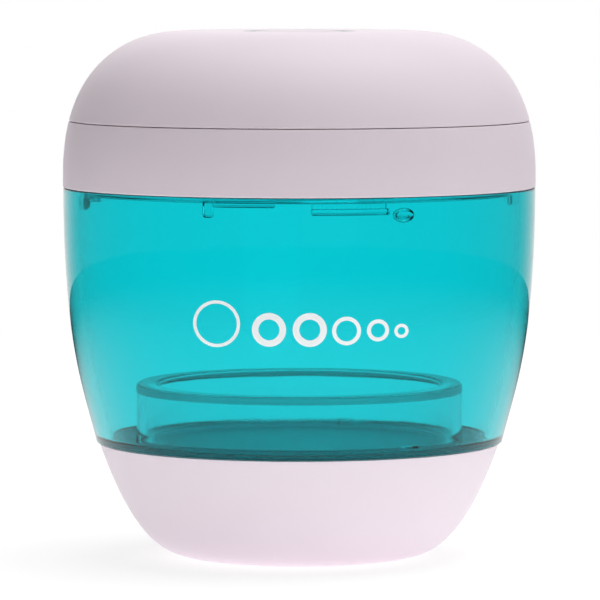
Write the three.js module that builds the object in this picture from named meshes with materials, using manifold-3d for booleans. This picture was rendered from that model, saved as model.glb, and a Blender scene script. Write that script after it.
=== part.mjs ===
// Portable pacifier sterilizer case: a clear teal cup on a white base bowl, under a white lid
// that holds the ultraviolet lamp, the battery and the controls. The lid turns off three hooks
// and lifts away. Millimetres, +Z up, the front faces -Y, and the origin is the middle of the
// foot's underside.

import * as THREE from 'three';
import { mergeVertices } from 'three/addons/utils/BufferGeometryUtils.js';
import Module from 'manifold-3d';

const wasm = await Module();
wasm.setup();

// Outside of the case

const bodyRadius = 37.5; // widest circle
const baseHeight = 18.3; // table to the seam of base and cup
const cupHeight = 40.5; // that seam to the cup's mouth
const ringHeight = 10.5; // mouth to the seam of ring and cap
const capHeight = 14.2; // that seam to the flat top
const widestAboveMouth = 2.1;
const cupFootRadius = 32.25; // the cup at its lower seam
const cupFootLean = 13.5; // degrees
const baseStep = 0.4; // how far the base stands back from the cup
const baseLean = 19; // degrees
const undersideRadius = 17.6;
const topFlatRadius = 19.2;
const crownRiseShare = 0.885; // handles of the outline's curves, as shares of their spans
const crownEaseShare = 0.27;
const flankRiseShare = 0.645;
const footRiseShare = 0.225;
const bowlRiseShare = 0.645;
const bowlEaseShare = 0.42;

// Walls and clearances

const cupWall = 2.4;
const baseWall = 2.4;
const lidWall = 2;
const seamGap = 0.15; // hairline between two fixed covers
const lidGap = 0.3; // between the cup's rim and the lid
const fitGap = 0.1; // between pieces that are stacked or screwed together
const slipGap = 0.2; // round a piece that drops into another
const overrun = 1; // how far a cut runs past the face it opens
const sink = 0.6; // how deep a boss or rib is rooted in its wall
const weldDistance = 0.0001;

// Roundness

const roundSegments = 36;
const midSegments = 24;
const smallSegments = 12;
const screwSegments = 10;
const arcSegments = 3;
const traceSteps = 60;
const capSteps = 9;

// Heights of the seams

const cupSeam = baseHeight;
const mouth = cupSeam + cupHeight;
const capSeam = mouth + ringHeight;
const crown = capSeam + capHeight;
const rimTop = mouth - lidGap / 2;
const ringBottom = mouth + lidGap / 2;
const ringTop = capSeam - seamGap / 2;
const capBottom = capSeam + seamGap / 2;
const cupBottom = cupSeam + seamGap / 2;
const baseTop = cupSeam - seamGap / 2;

// Finishes

const finishes = {
  white: { color: 0xd8ced6, roughness: 0.35, metalness: 0 },
  teal: { color: 0x04b4bf, roughness: 0.12, metalness: 0, transparent: true, opacity: 0.5 },
  clear: { color: 0xcfe6e8, roughness: 0.1, metalness: 0, transparent: true, opacity: 0.45 },
  silicone: { color: 0xc4bac2, roughness: 0.7, metalness: 0 },
  mirror: { color: 0xdfe2e4, roughness: 0.12, metalness: 1 },
  quartz: { color: 0xe8f2f6, roughness: 0.05, metalness: 0, transparent: true, opacity: 0.4 },
  steel: { color: 0x9a9da1, roughness: 0.35, metalness: 1 },
  ledBoard: { color: 0xe9eae6, roughness: 0.5, metalness: 0.2 },
  ledCase: { color: 0xd9c9a0, roughness: 0.4, metalness: 0.1 },
  board: { color: 0x1d5b3f, roughness: 0.5, metalness: 0 },
  chip: { color: 0x1a1b1d, roughness: 0.6, metalness: 0 },
  ferrite: { color: 0x4a4a4e, roughness: 0.7, metalness: 0.2 },
  cell: { color: 0x4f74a8, roughness: 0.4, metalness: 0.1 },
  foam: { color: 0x3c3d40, roughness: 0.95, metalness: 0 },
  tray: { color: 0xe4e2df, roughness: 0.5, metalness: 0 },
  magnet: { color: 0xb9bbbf, roughness: 0.25, metalness: 1 },
  red: { color: 0xb3262a, roughness: 0.5, metalness: 0 },
  black: { color: 0x202124, roughness: 0.5, metalness: 0 },
  flex: { color: 0xb9822f, roughness: 0.45, metalness: 0.1 },
};

// Basic forms

const quarterTurn = Math.PI / 2;
const rad = THREE.MathUtils.degToRad;
const axis = new THREE.Vector2(0, 0);

function at(x, y) {
  return new THREE.Vector2(x, y);
}

// A place on a circle round the case: 0 degrees is the front, 90 is the side at +X
function spot(radius, degrees) {
  const angle = rad(degrees);
  return at(radius * Math.sin(angle), -radius * Math.cos(angle));
}

function toSolid(geometry) {
  const bare = new THREE.BufferGeometry();
  bare.setAttribute('position', geometry.attributes.position);
  bare.setIndex(geometry.index);
  const merged = mergeVertices(bare, weldDistance);
  const corners = [];
  for (let i = 0; i < merged.index.count; i += 3) {
    const triangle = [0, 1, 2].map((step) => merged.index.getX(i + step));
    if (new Set(triangle).size === 3) corners.push(...triangle);
  }
  return new wasm.Manifold(new wasm.Mesh({
    numProp: 3,
    vertProperties: merged.attributes.position.array,
    triVerts: new Uint32Array(corners),
  }));
}

function toGeometry(solid) {
  const mesh = solid.getMesh();
  const geometry = new THREE.BufferGeometry();
  geometry.setAttribute('position', new THREE.BufferAttribute(mesh.vertProperties, 3));
  geometry.setIndex(new THREE.BufferAttribute(mesh.triVerts, 1));
  geometry.computeVertexNormals();
  return geometry;
}

// A solid turned about Z. Its profile of (radius, height) runs up the outside and down the inside
function turned(profile, segments = roundSegments) {
  const geometry = new THREE.LatheGeometry(profile, segments);
  geometry.rotateX(quarterTurn);
  return toSolid(geometry);
}

// A turned ring of rectangular section
function hoop(inner, outer, low, high, segments = roundSegments) {
  return turned([at(inner, low), at(outer, low), at(outer, high), at(inner, high), at(inner, low)], segments);
}

// A turned disc
function disc(radius, low, high, segments = roundSegments) {
  return turned([at(0, low), at(radius, low), at(radius, high), at(0, high)], segments);
}

function post(radius, low, high, centre, segments = smallSegments) {
  const geometry = new THREE.CylinderGeometry(radius, radius, high - low, segments);
  geometry.rotateX(quarterTurn);
  geometry.translate(centre.x, centre.y, (low + high) / 2);
  return toSolid(geometry);
}

// A flat shape made solid between two heights
function slab(shape, low, high) {
  const settings = { depth: high - low, bevelEnabled: false, curveSegments: arcSegments };
  const geometry = new THREE.ExtrudeGeometry(shape, settings);
  geometry.translate(0, 0, low);
  return toSolid(geometry);
}

// A shape in X and Z made solid between two places along Y
function slabAlongY(shape, near, far) {
  const settings = { depth: far - near, bevelEnabled: false, curveSegments: arcSegments };
  const geometry = new THREE.ExtrudeGeometry(shape, settings);
  geometry.rotateX(quarterTurn);
  geometry.translate(0, far, 0);
  return toSolid(geometry);
}

// A shape in Y and Z made solid across X, centred on a place
function slabAcrossX(shape, width, middle) {
  const settings = { depth: width, bevelEnabled: false, curveSegments: arcSegments };
  const geometry = new THREE.ExtrudeGeometry(shape, settings);
  geometry.rotateX(quarterTurn);
  geometry.rotateZ(quarterTurn);
  geometry.translate(middle - width / 2, 0, 0);
  return toSolid(geometry);
}

function block(width, depth, low, high, centre) {
  const geometry = new THREE.BoxGeometry(width, depth, high - low);
  geometry.translate(centre.x, centre.y, (low + high) / 2);
  return toSolid(geometry);
}

// A curved block: part of a hoop between two directions in degrees
function sector(inner, outer, from, to, low, high) {
  const shape = new THREE.Shape();
  const start = rad(from) - quarterTurn;
  const end = rad(to) - quarterTurn;
  shape.absarc(0, 0, outer, start, end, false);
  shape.absarc(0, 0, inner, end, start, true);
  return slab(shape, low, high);
}

function roundedRectangle(width, height, corner, centre = axis) {
  const shape = new THREE.Shape();
  const across = width / 2 - corner;
  const up = height / 2 - corner;
  shape.absarc(centre.x + across, centre.y + up, corner, 0, quarterTurn);
  shape.absarc(centre.x - across, centre.y + up, corner, quarterTurn, 2 * quarterTurn);
  shape.absarc(centre.x - across, centre.y - up, corner, 2 * quarterTurn, 3 * quarterTurn);
  shape.absarc(centre.x + across, centre.y - up, corner, 3 * quarterTurn, 4 * quarterTurn);
  return shape;
}

function polygon(points) {
  return new THREE.Shape(points);
}

function joined(first, ...others) {
  return others.reduce((whole, other) => whole.add(other), first);
}

function cutBy(first, ...others) {
  return others.reduce((whole, other) => whole.subtract(other), first);
}

// The scene graph

const caseGroup = new THREE.Group();
caseGroup.name = 'pacifier_sterilizer_case';

function section(name) {
  const group = new THREE.Group();
  group.name = name;
  caseGroup.add(group);
  return group;
}

const baseGroup = section('base');
const chamberGroup = section('chamber');
const lidGroup = section('lid');
const lampGroup = section('lamp');
const controlGroup = section('controls');

function place(group, name, solid, finish, position = new THREE.Vector3()) {
  const mesh = new THREE.Mesh(toGeometry(solid), new THREE.MeshStandardMaterial(finishes[finish]));
  mesh.name = name;
  mesh.position.copy(position);
  group.add(mesh);
  return mesh;
}

// The outline of the case, as curves that run upwards

const widest = mouth + widestAboveMouth;
const padThickness = 1.2;
const padProud = 0.3;
const bowlTop = at(cupFootRadius - baseStep, cupSeam);
const cupFoot = at(cupFootRadius, cupSeam);

function leaning(point, degrees, length) {
  return at(point.x + length * Math.sin(rad(degrees)), point.y + length * Math.cos(rad(degrees)));
}

const bowlCurve = new THREE.CubicBezierCurve(
  at(undersideRadius, padProud),
  at(undersideRadius + bowlEaseShare * (bowlTop.x - undersideRadius), padProud),
  leaning(bowlTop, baseLean, -bowlRiseShare * baseHeight),
  bowlTop,
);
const flankCurve = new THREE.CubicBezierCurve(
  cupFoot,
  leaning(cupFoot, cupFootLean, footRiseShare * (widest - cupSeam)),
  at(bodyRadius, widest - flankRiseShare * (widest - cupSeam)),
  at(bodyRadius, widest),
);
const crownCurve = new THREE.CubicBezierCurve(
  at(bodyRadius, widest),
  at(bodyRadius, widest + crownRiseShare * (crown - widest)),
  at(topFlatRadius + crownEaseShare * (bodyRadius - topFlatRadius), crown),
  at(topFlatRadius, crown),
);

// Closely spaced points along curves, moved square to them and inwards
function traced(curves, inset) {
  const points = [];
  for (const curve of curves) {
    for (let i = 0; i <= traceSteps; i += 1) {
      const point = curve.getPoint(i / traceSteps);
      const tangent = curve.getTangent(i / traceSteps);
      points.push(at(point.x - tangent.y * inset, point.y + tangent.x * inset));
    }
  }
  return points;
}

// The part of a traced line between two heights
function trimmed(line, low, high) {
  const kept = [];
  for (let i = 1; i < line.length; i += 1) {
    const [below, above] = [line[i - 1], line[i]];
    const rise = above.y - below.y;
    if (rise <= 0) continue;
    if (kept.length === 0 && above.y > low) {
      kept.push(below.clone().lerp(above, Math.max(0, (low - below.y) / rise)));
    }
    if (above.y >= high) {
      kept.push(below.clone().lerp(above, (high - below.y) / rise));
      return kept;
    }
    if (kept.length > 0) kept.push(above.clone());
  }
  return kept;
}

// Evenly spaced points of a traced line between two heights
function stretch(line, low, high, steps) {
  const kept = trimmed(line, low, high);
  const runs = [0];
  for (let i = 1; i < kept.length; i += 1) runs.push(runs[i - 1] + kept[i].distanceTo(kept[i - 1]));
  const points = [];
  let next = 1;
  for (let step = 0; step <= steps; step += 1) {
    const run = (runs[runs.length - 1] * step) / steps;
    while (next < runs.length - 1 && runs[next] < run) next += 1;
    const share = (run - runs[next - 1]) / (runs[next] - runs[next - 1]);
    points.push(kept[next - 1].clone().lerp(kept[next], share));
  }
  return points;
}

function radiusAt(line, height) {
  return trimmed(line, height, height + overrun)[0].x;
}

const bowlOuter = traced([bowlCurve], 0);
const bowlInner = traced([bowlCurve], baseWall);
const bodyOuter = traced([flankCurve, crownCurve], 0);
const cupInner = traced([flankCurve, crownCurve], cupWall);
const capInner = traced([crownCurve], lidWall);

// Everything inside the cap's outer face, drawn in by an inset
function capFilled(inset) {
  const line = traced([crownCurve], inset);
  const low = mouth + widestAboveMouth + overrun;
  return turned([at(0, low), ...stretch(line, low, crown - inset, capSteps), at(0, crown - inset)]);
}

// Screws: the head hangs below its seat at height 0, and the shank rises from it

const recessWidthShare = 0.3;
const recessLengthShare = 1.2;
const recessDepthShare = 0.45;

function screwSolid(size) {
  const { headRadius, headHeight, shankRadius, length } = size;
  const rim = headHeight / 4;
  const screw = turned([
    at(0, -headHeight),
    at(headRadius - rim, -headHeight),
    at(headRadius, rim - headHeight),
    at(headRadius, 0),
    at(shankRadius, 0),
    at(shankRadius, length - shankRadius),
    at(shankRadius / 2, length),
    at(0, length),
  ], screwSegments);
  const wide = recessLengthShare * headRadius;
  const thin = recessWidthShare * headRadius;
  const depth = recessDepthShare * headHeight;
  const low = -headHeight - overrun;
  const high = depth - headHeight;
  return cutBy(screw, block(wide, thin, low, high, axis), block(thin, wide, low, high, axis));
}

const baseScrew = { headRadius: 2.2, headHeight: 1.6, shankRadius: 1.25, length: 9 };
const lidScrew = { headRadius: 2.2, headHeight: 1.6, shankRadius: 1.25, length: 8 };
const boardScrew = { headRadius: 1.9, headHeight: 1.1, shankRadius: 0.95, length: 4.8 };
const lampScrew = { headRadius: 1.7, headHeight: 1.1, shankRadius: 0.8, length: 4.2 };

function pilotRadius(screw) {
  return screw.shankRadius + fitGap;
}

function clearanceRadius(screw) {
  return screw.shankRadius + 2 * fitGap;
}

// Base: the bowl, its foot pad and the three screws that hold the cup

const padRadius = 15;
const baseFloor = 1.5;
const bowlSteps = 7;
const baseScrewPitch = 10.5;
const baseScrewDirections = [60, 180, 300];
const pillarRadius = 4;
const counterboreRadius = 2.6;
const counterboreDepth = 3.1;
const pillarSeat = 2;
const pillarSegments = 16;

const recessCeiling = padThickness + fitGap;
const bowlFloor = recessCeiling + baseFloor;
const baseSeat = recessCeiling + counterboreDepth;
const pillarTop = baseSeat + pillarSeat;
const baseScrewSeat = baseSeat - fitGap;

function baseShell() {
  let shell = turned([
    at(0, recessCeiling),
    at(padRadius + slipGap, recessCeiling),
    at(padRadius + slipGap, padProud),
    ...stretch(bowlOuter, padProud, baseTop, bowlSteps),
    ...stretch(bowlInner, bowlFloor, baseTop, bowlSteps).reverse(),
    at(0, bowlFloor),
  ]);
  for (const direction of baseScrewDirections) {
    const centre = spot(baseScrewPitch, direction);
    const pillar = post(pillarRadius, bowlFloor - sink, pillarTop, centre, pillarSegments);
    const counterbore = post(counterboreRadius, recessCeiling - overrun, baseSeat, centre);
    const hole = post(clearanceRadius(baseScrew), baseSeat - overrun, pillarTop + overrun, centre);
    shell = cutBy(joined(shell, pillar), counterbore, hole);
  }
  return shell;
}

const padBevel = 0.4;

function footPad() {
  return turned([
    at(0, 0),
    at(padRadius - padBevel, 0),
    at(padRadius, padBevel),
    at(padRadius, padThickness),
    at(0, padThickness),
  ]);
}

place(baseGroup, 'base_shell', baseShell(), 'white');
place(baseGroup, 'foot_pad', footPad(), 'silicone');
baseScrewDirections.forEach((direction, index) => {
  const centre = spot(baseScrewPitch, direction);
  const position = new THREE.Vector3(centre.x, centre.y, baseScrewSeat);
  place(baseGroup, `base_screw_${index + 1}`, screwSolid(baseScrew), 'steel', position);
});

// Bayonet: three hooks on the lid turn under three lugs in the cup. Directions in degrees
// are counted from the front, for the first of three equal sets

const hookStart = 3;
const hookSpan = 20;
const lugSpan = 16;
const lugAway = 9; // from the hook's start to the lug's end, with the lid free
const stopSpan = 2;
const stopGap = 0.5;
const pipSpan = 5.5;
const bayonetDirections = [0, 120, 240];
const spigotDepth = 1;
const spigotWall = 1.5;
const spigotAway = 1.15; // from the cup's wall
const lugDrop = 0.5; // below the mouth
const lugHeight = 1;
const lugPlay = 0.25; // from the lug to the lid's spigot
const hookPlay = 0.2; // from the lug down to the hook
const hookHeight = 1;
const hookReach = 0.9;
const hookInset = 0.15;
const stopDrop = 1.6; // of the stop and the pip below the lug
const pipHeight = 2.1;

const cupMouthRadius = radiusAt(cupInner, rimTop);
const spigotOuter = cupMouthRadius - spigotAway;
const spigotInner = spigotOuter - spigotWall;
const spigotBottom = mouth - spigotDepth;
const lugEnd = hookStart - lugAway;
const lugStart = lugEnd - lugSpan;
const lugTop = mouth - lugDrop;
const lugBottom = lugTop - lugHeight;
const lugInner = spigotOuter + lugPlay;
const hookTop = lugBottom - hookPlay;
const hookBottom = hookTop - hookHeight;
const pipStart = hookStart + hookSpan + stopGap;

// Chamber: the clear cup, the stand in it and the magnet that tells the lid that it is closed

const cupSteps = 8;
const chamberFloorRise = 0.3; // of the floor above the lower seam
const floorThickness = 2;
const floorFillet = 2;
const filletSteps = 3;
const cupBossRadius = 3.2;
const pilotSpare = 0.5; // of a pilot hole past its screw's tip
const chamberFloor = cupSeam + chamberFloorRise;
const floorUnderside = chamberFloor - floorThickness;

const standAway = 2.4; // from the fillet round the floor
const standWall = 1.4;
const standHeight = 9.2;
const standLip = 2; // the rim's reach inwards from the wall
const standRim = 1.1;
const notchWidth = 3;
const notchHeight = 1.2;
const notchDirections = [41, 161, 281];
const ribThickness = 1;
const ribHeight = 1;
const floorWall = radiusAt(cupInner, chamberFloor + floorFillet);
const standRadius = floorWall - floorFillet - standAway;
const standInner = standRadius - standWall;
const standBottom = chamberFloor + fitGap;
const standTop = chamberFloor + standHeight;

const magnetRadius = 2;
const magnetThickness = 1.6;
const magnetDirection = 182.2;
const magnetBossWall = 0.8;
const magnetBossFloor = 0.6;
const magnetBossDrop = 0.4; // below the lid's spigot
const magnetBossRoot = 0.7; // into the cup's wall
const magnetBossRadius = magnetRadius + fitGap + magnetBossWall;
const magnetBossTop = spigotBottom - magnetBossDrop;
const magnetPocketFloor = magnetBossTop - magnetThickness - 2 * fitGap;
const magnetSpot = spot(cupMouthRadius + magnetBossRoot - magnetBossRadius, magnetDirection);

function floorCorner() {
  const points = [];
  for (let i = 0; i <= filletSteps; i += 1) {
    const angle = (quarterTurn * i) / filletSteps;
    const radius = floorWall - floorFillet + floorFillet * Math.cos(angle);
    points.push(at(radius, chamberFloor + floorFillet - floorFillet * Math.sin(angle)));
  }
  return points;
}

function cupShell() {
  const plugRadius = radiusAt(bowlInner, floorUnderside) - slipGap;
  return turned([
    at(0, floorUnderside),
    at(plugRadius, floorUnderside),
    at(plugRadius, cupBottom),
    ...stretch(bodyOuter, cupBottom, rimTop, cupSteps),
    ...stretch(cupInner, chamberFloor + floorFillet, rimTop, cupSteps).reverse(),
    ...floorCorner().slice(1),
    at(0, chamberFloor),
  ]);
}

// One set of lug, lock stop and unlocked stop on the cup's wall
function lugSet(direction) {
  const outer = cupMouthRadius + sink;
  const lug = sector(lugInner, outer, direction + lugStart, direction + lugEnd, lugBottom, lugTop);
  const stopFrom = direction + lugStart - stopSpan;
  const stop = sector(lugInner, outer, stopFrom, direction + lugStart, lugBottom - stopDrop, lugTop);
  const pipFrom = direction + pipStart;
  const pip = sector(lugInner, outer, pipFrom, pipFrom + pipSpan, hookTop - pipHeight, hookTop);
  return joined(lug, stop, pip);
}

function chamberCup() {
  let cup = cupShell();
  for (const direction of bayonetDirections) cup = joined(cup, lugSet(direction));
  for (const direction of baseScrewDirections) {
    const centre = spot(baseScrewPitch, direction);
    const tip = baseScrewSeat + baseScrew.length + pilotSpare;
    const boss = post(cupBossRadius, pillarTop + fitGap, floorUnderside + sink, centre);
    const pilot = post(pilotRadius(baseScrew), pillarTop - overrun, tip, centre);
    cup = cutBy(joined(cup, boss), pilot);
  }
  const ribOuter = standInner - slipGap;
  const rib = hoop(ribOuter - ribThickness, ribOuter, chamberFloor - sink, chamberFloor + ribHeight);
  const bossBottom = magnetPocketFloor - magnetBossFloor;
  const magnetBoss = post(magnetBossRadius, bossBottom, magnetBossTop, magnetSpot);
  const pocket = post(magnetRadius + fitGap, magnetPocketFloor, magnetBossTop + overrun, magnetSpot);
  return cutBy(joined(cup, rib, magnetBoss), pocket);
}

function standRing() {
  const lipInner = standInner - standLip;
  let stand = turned([
    at(standInner, standBottom),
    at(standRadius, standBottom),
    at(standRadius, standTop),
    at(lipInner, standTop),
    at(lipInner, standTop - standRim),
    at(standInner, standTop - standRim),
    at(standInner, standBottom),
  ]);
  for (const direction of notchDirections) {
    const low = standBottom - overrun;
    const notch = block(notchWidth, 2 * standWall + overrun, low, standBottom + notchHeight, axis);
    const centre = spot(standRadius - standWall / 2, direction);
    stand = cutBy(stand, notch.rotate([0, 0, direction]).translate([centre.x, centre.y, 0]));
  }
  return stand;
}

function sensorMagnet() {
  const low = magnetPocketFloor + fitGap;
  return post(magnetRadius, low, low + magnetThickness, magnetSpot);
}

place(chamberGroup, 'chamber_cup', chamberCup(), 'teal');
place(chamberGroup, 'stand_ring', standRing(), 'clear');
place(chamberGroup, 'sensor_magnet', sensorMagnet(), 'magnet');

// Lid seal: a soft ring on the cup's rim, in a groove under the lid

const grooveLip = 0.66;
const grooveWidth = 1.4;
const grooveDepth = 1.1;
const grooveOuter = radiusAt(bodyOuter, mouth) - grooveLip;
const grooveInner = grooveOuter - grooveWidth;
const grooveCeiling = ringBottom + grooveDepth;

const lidSeal = hoop(grooveInner + slipGap, grooveOuter - slipGap, rimTop + fitGap, grooveCeiling - fitGap);
place(lidGroup, 'lid_seal', lidSeal, 'silicone');

// Lid ring: the outer skin, the spigot with its hooks and the deck that carries the lamp

const skinWall = 1.3;
const troughWidth = 1.5; // between the skin and the wall that carries the spigot
const webThickness = 1.9;
const deckRise = 6.1; // above the mouth
const deckThickness = 2.4;
const upstandHeight = 1.1;
const upstandWall = 1.2;
const ringSteps = 4;
const beadReach = 0.4;
const beadHeight = 0.5;
const beadDrop = 0.15; // above the spigot's lower edge

const windowRadius = 14.6;
const windowThickness = 1.3;
const windowSink = 1.6;
const apertureRadius = 12.5;
const ledRoom = 1.6; // between the window and the lamp's board
const collarWall = 2;

const skinInner = radiusAt(bodyOuter, capSeam) - skinWall;
const troughInner = skinInner - troughWidth;
const troughFloor = ringBottom + webThickness;
const deckBottom = mouth + deckRise;
const deckTop = deckBottom + deckThickness;
const upstandTop = capSeam + upstandHeight;
const upstandOuter = radiusAt(capInner, upstandTop) - slipGap;
const upstandInner = upstandOuter - upstandWall;
const windowSeat = deckTop - windowSink;
const windowBottom = windowSeat + fitGap;
const windowTop = windowBottom + windowThickness;
const collarTop = windowTop + ledRoom;
const collarInner = windowRadius + slipGap;
const collarOuter = collarInner + collarWall;

// Lamp board and its screws

const lampBoardRadius = 19.5;
const lampBoardThickness = 1.6;
const lampScrewPitch = 17;
const lampScrewDirections = [90, 270];
const lampBossRadius = 2.2;
const lampBoardBottom = collarTop + fitGap;
const lampBoardTop = lampBoardBottom + lampBoardThickness;
const lampScrewSeat = lampBoardTop + fitGap;
const lampScrewTip = lampScrewSeat - lampScrew.length;

// Control stack, measured down from the lid's flat top

const buttonTravel = 0.6;
const guideFlange = 0.7; // thickness of the light guide's flange under the cap
const stemHeight = 0.5;
const switchHeight = 1.5;
const boardThickness = 1;
const padDepth = 0.7;
const cradleFloor = 1;
const cradleAway = 0.5; // above the lamp's board
const ceiling = crown - lidWall;
const guideBottom = ceiling - fitGap - guideFlange;
const stemTop = guideBottom - buttonTravel - fitGap;
const boardTop = stemTop - stemHeight - switchHeight - fitGap;
const boardBottom = boardTop - boardThickness;
const batteryTop = boardBottom - padDepth - 2 * fitGap;
const cradleBottom = lampBoardTop + cradleAway;
const batteryBottom = cradleBottom + cradleFloor + fitGap;

// Lid screws, from counterbores under the deck up into the cap's bosses

const lidBossRadius = 3;
const lidScrewAway = 3.3; // from the inside of the lid's spigot
const lidSeatRise = 1.2; // of the deck's bosses above the deck
const lidScrewDirections = [60, 120, 240, 300];
const lidScrewPitch = spigotInner - lidScrewAway;
const lidScrewSeat = deckBottom + lidScrew.headHeight + fitGap;
const lidSeatTop = deckTop + lidSeatRise;

// Main board and its posts, inside the ring of the lid screws' bosses

const lidBossAway = 2.1; // from the main board's edge
const boardMargin = 3; // from the posts' middles to the board's edge
const boardPostDirections = [0, 146, 214];
const boardRadius = lidScrewPitch - lidBossRadius - lidBossAway;
const boardPosts = boardPostDirections.map((direction) => spot(boardRadius - boardMargin, direction));

// Plan of the battery and the cradle round it: between the board's posts, and clear of the
// wires that rise behind it from the lamp's board

const batteryCorner = 2;
const batterySideAway = 6.5; // from the main board's edge
const cradleWall = 1;
const cradleRise = 2; // of its rim above the battery's underside
const earAway = 3; // from the cradle's wall to a post's middle
const lampWireRoom = 4.8; // behind the cradle, on the lamp's board
const cradleFront = boardPosts[0].y + earAway;
const cradleRear = Math.min(boardPosts[1].y - earAway, lampBoardRadius - lampWireRoom);
const batteryWidth = 2 * (boardRadius - batterySideAway);
const batteryDepth = cradleRear - cradleFront - 2 * (slipGap + cradleWall);
const batteryMiddle = at(0, (cradleFront + cradleRear) / 2);
const cradleWidth = batteryWidth + 2 * (slipGap + cradleWall);
const cradleDepth = batteryDepth + 2 * (slipGap + cradleWall);
const earThickness = 1;
const earTop = boardBottom - fitGap;
const boardScrewSeat = earTop - earThickness - fitGap;

// Closed-lid sensor in the ring's trough, above the cup's magnet

const sensorWidth = 2.9;
const sensorDepth = 0.9;
const sensorHeight = 1.6;
const flexWidth = 3;
const flexThickness = 0.2;
const flexNotchSpare = 0.5;
const flexAway = 2.6; // from the lamp's board and the posts of the main one
const sensorRadius = troughInner + troughWidth / 2;
const sensorSpot = spot(sensorRadius, magnetDirection);
const sensorBottom = troughFloor + fitGap;
const flexShelf = deckTop + flexNotchSpare;

function lidRingShell() {
  const beadTop = spigotBottom + beadDrop + beadHeight;
  return turned([
    at(grooveOuter, ringBottom),
    ...stretch(bodyOuter, ringBottom, ringTop, ringSteps),
    at(skinInner, ringTop),
    at(skinInner, troughFloor),
    at(troughInner, troughFloor),
    at(troughInner, deckTop),
    at(upstandOuter, deckTop),
    at(upstandOuter, upstandTop),
    at(upstandInner, upstandTop),
    at(upstandInner, deckTop),
    at(collarOuter, deckTop),
    at(collarOuter, collarTop),
    at(collarInner, collarTop),
    at(collarInner, windowSeat),
    at(apertureRadius, windowSeat),
    at(apertureRadius, deckBottom),
    at(spigotInner, deckBottom),
    at(spigotInner, beadTop),
    at(spigotInner - beadReach, beadTop - beadHeight / 2),
    at(spigotInner, beadTop - beadHeight),
    at(spigotInner, spigotBottom),
    at(spigotOuter, spigotBottom),
    at(spigotOuter, ringBottom),
    at(grooveInner, ringBottom),
    at(grooveInner, grooveCeiling),
    at(grooveOuter, grooveCeiling),
    at(grooveOuter, ringBottom),
  ]);
}

function hook(direction) {
  const from = direction + hookStart;
  const to = from + hookSpan;
  const stemInner = spigotInner + hookInset;
  const stem = sector(stemInner, spigotOuter - hookInset, from, to, hookBottom, spigotBottom + sink);
  const foot = sector(stemInner, spigotOuter + hookReach, from, to, hookBottom, hookTop);
  return joined(stem, foot);
}

function lidRing() {
  let ring = lidRingShell();
  for (const direction of bayonetDirections) ring = joined(ring, hook(direction));
  for (const direction of lampScrewDirections) {
    const centre = spot(lampScrewPitch, direction);
    const boss = post(lampBossRadius, deckTop - sink, collarTop, centre);
    const pilot = post(pilotRadius(lampScrew), lampScrewTip - pilotSpare, collarTop + overrun, centre);
    ring = cutBy(joined(ring, boss), pilot);
  }
  for (const direction of lidScrewDirections) {
    const centre = spot(lidScrewPitch, direction);
    const boss = post(lidBossRadius, deckTop - sink, lidSeatTop, centre);
    const headRoom = post(lidScrew.headRadius + slipGap, deckBottom - overrun, lidScrewSeat + fitGap, centre);
    const hole = post(clearanceRadius(lidScrew), deckBottom, lidSeatTop + overrun, centre);
    ring = cutBy(joined(ring, boss), headRoom, hole);
  }
  const notchDepth = 2 * (skinInner - upstandInner);
  const notchMiddle = at(sensorSpot.x, upstandInner);
  const notch = block(flexWidth + 2 * slipGap, notchDepth, deckTop, upstandTop + overrun, notchMiddle);
  const skinZone = hoop(skinInner, bodyRadius + overrun, deckTop - overrun, upstandTop + 2 * overrun);
  return cutBy(ring, cutBy(notch, skinZone));
}

place(lidGroup, 'lid_ring', lidRing(), 'white');

// Reflector dish under the deck, snapped in above the spigot's bead

const dishSheet = 0.6;
const dishFlange = 4; // width of its flat round the aperture
const dishHoleSpare = 0.5;
const dishSteps = 5;
const dishPullShare = 0.75; // where the curve's handle stands, as a share of the run
const dishSagShare = 0.2; // and as a share of the drop
const dishRimUp = 0.15; // above the bead

function dishLine(lift) {
  const top = at(apertureRadius + dishHoleSpare + dishFlange, deckBottom - fitGap - dishSheet + lift);
  const rimLow = spigotBottom + beadDrop + beadHeight + dishRimUp;
  const rim = at(spigotInner - slipGap - dishSheet + lift, rimLow);
  const handle = at(
    top.x + dishPullShare * (rim.x - top.x),
    top.y - dishSagShare * (top.y - rim.y) + lift / 2,
  );
  return new THREE.QuadraticBezierCurve(top, handle, rim).getPoints(dishSteps);
}

function reflectorDish() {
  const hole = apertureRadius + dishHoleSpare;
  const top = deckBottom - fitGap;
  return turned([
    at(hole, top - dishSheet),
    ...dishLine(0),
    ...dishLine(dishSheet).reverse(),
    at(hole, top),
    at(hole, top - dishSheet),
  ]);
}

place(lampGroup, 'reflector_dish', reflectorDish(), 'mirror');

// Window, its seal, the lamp board and the four ultraviolet diodes

const windowSealWidth = 1.4;
const ledSide = 3.5;
const ledHeight = 1.2;
const ledSpread = 5; // of each diode from the middle
const ledDirections = [0, 90, 180, 270];

function windowSeal() {
  const outer = windowRadius;
  return hoop(outer - windowSealWidth, outer, windowTop + fitGap, lampBoardBottom - fitGap, midSegments);
}

function lampBoard() {
  const low = lampBoardBottom - overrun;
  const high = lampBoardTop + overrun;
  const holes = lampScrewDirections.map((direction) => (
    post(clearanceRadius(lampScrew), low, high, spot(lampScrewPitch, direction))
  ));
  return cutBy(disc(lampBoardRadius, lampBoardBottom, lampBoardTop, midSegments), ...holes);
}

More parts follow.
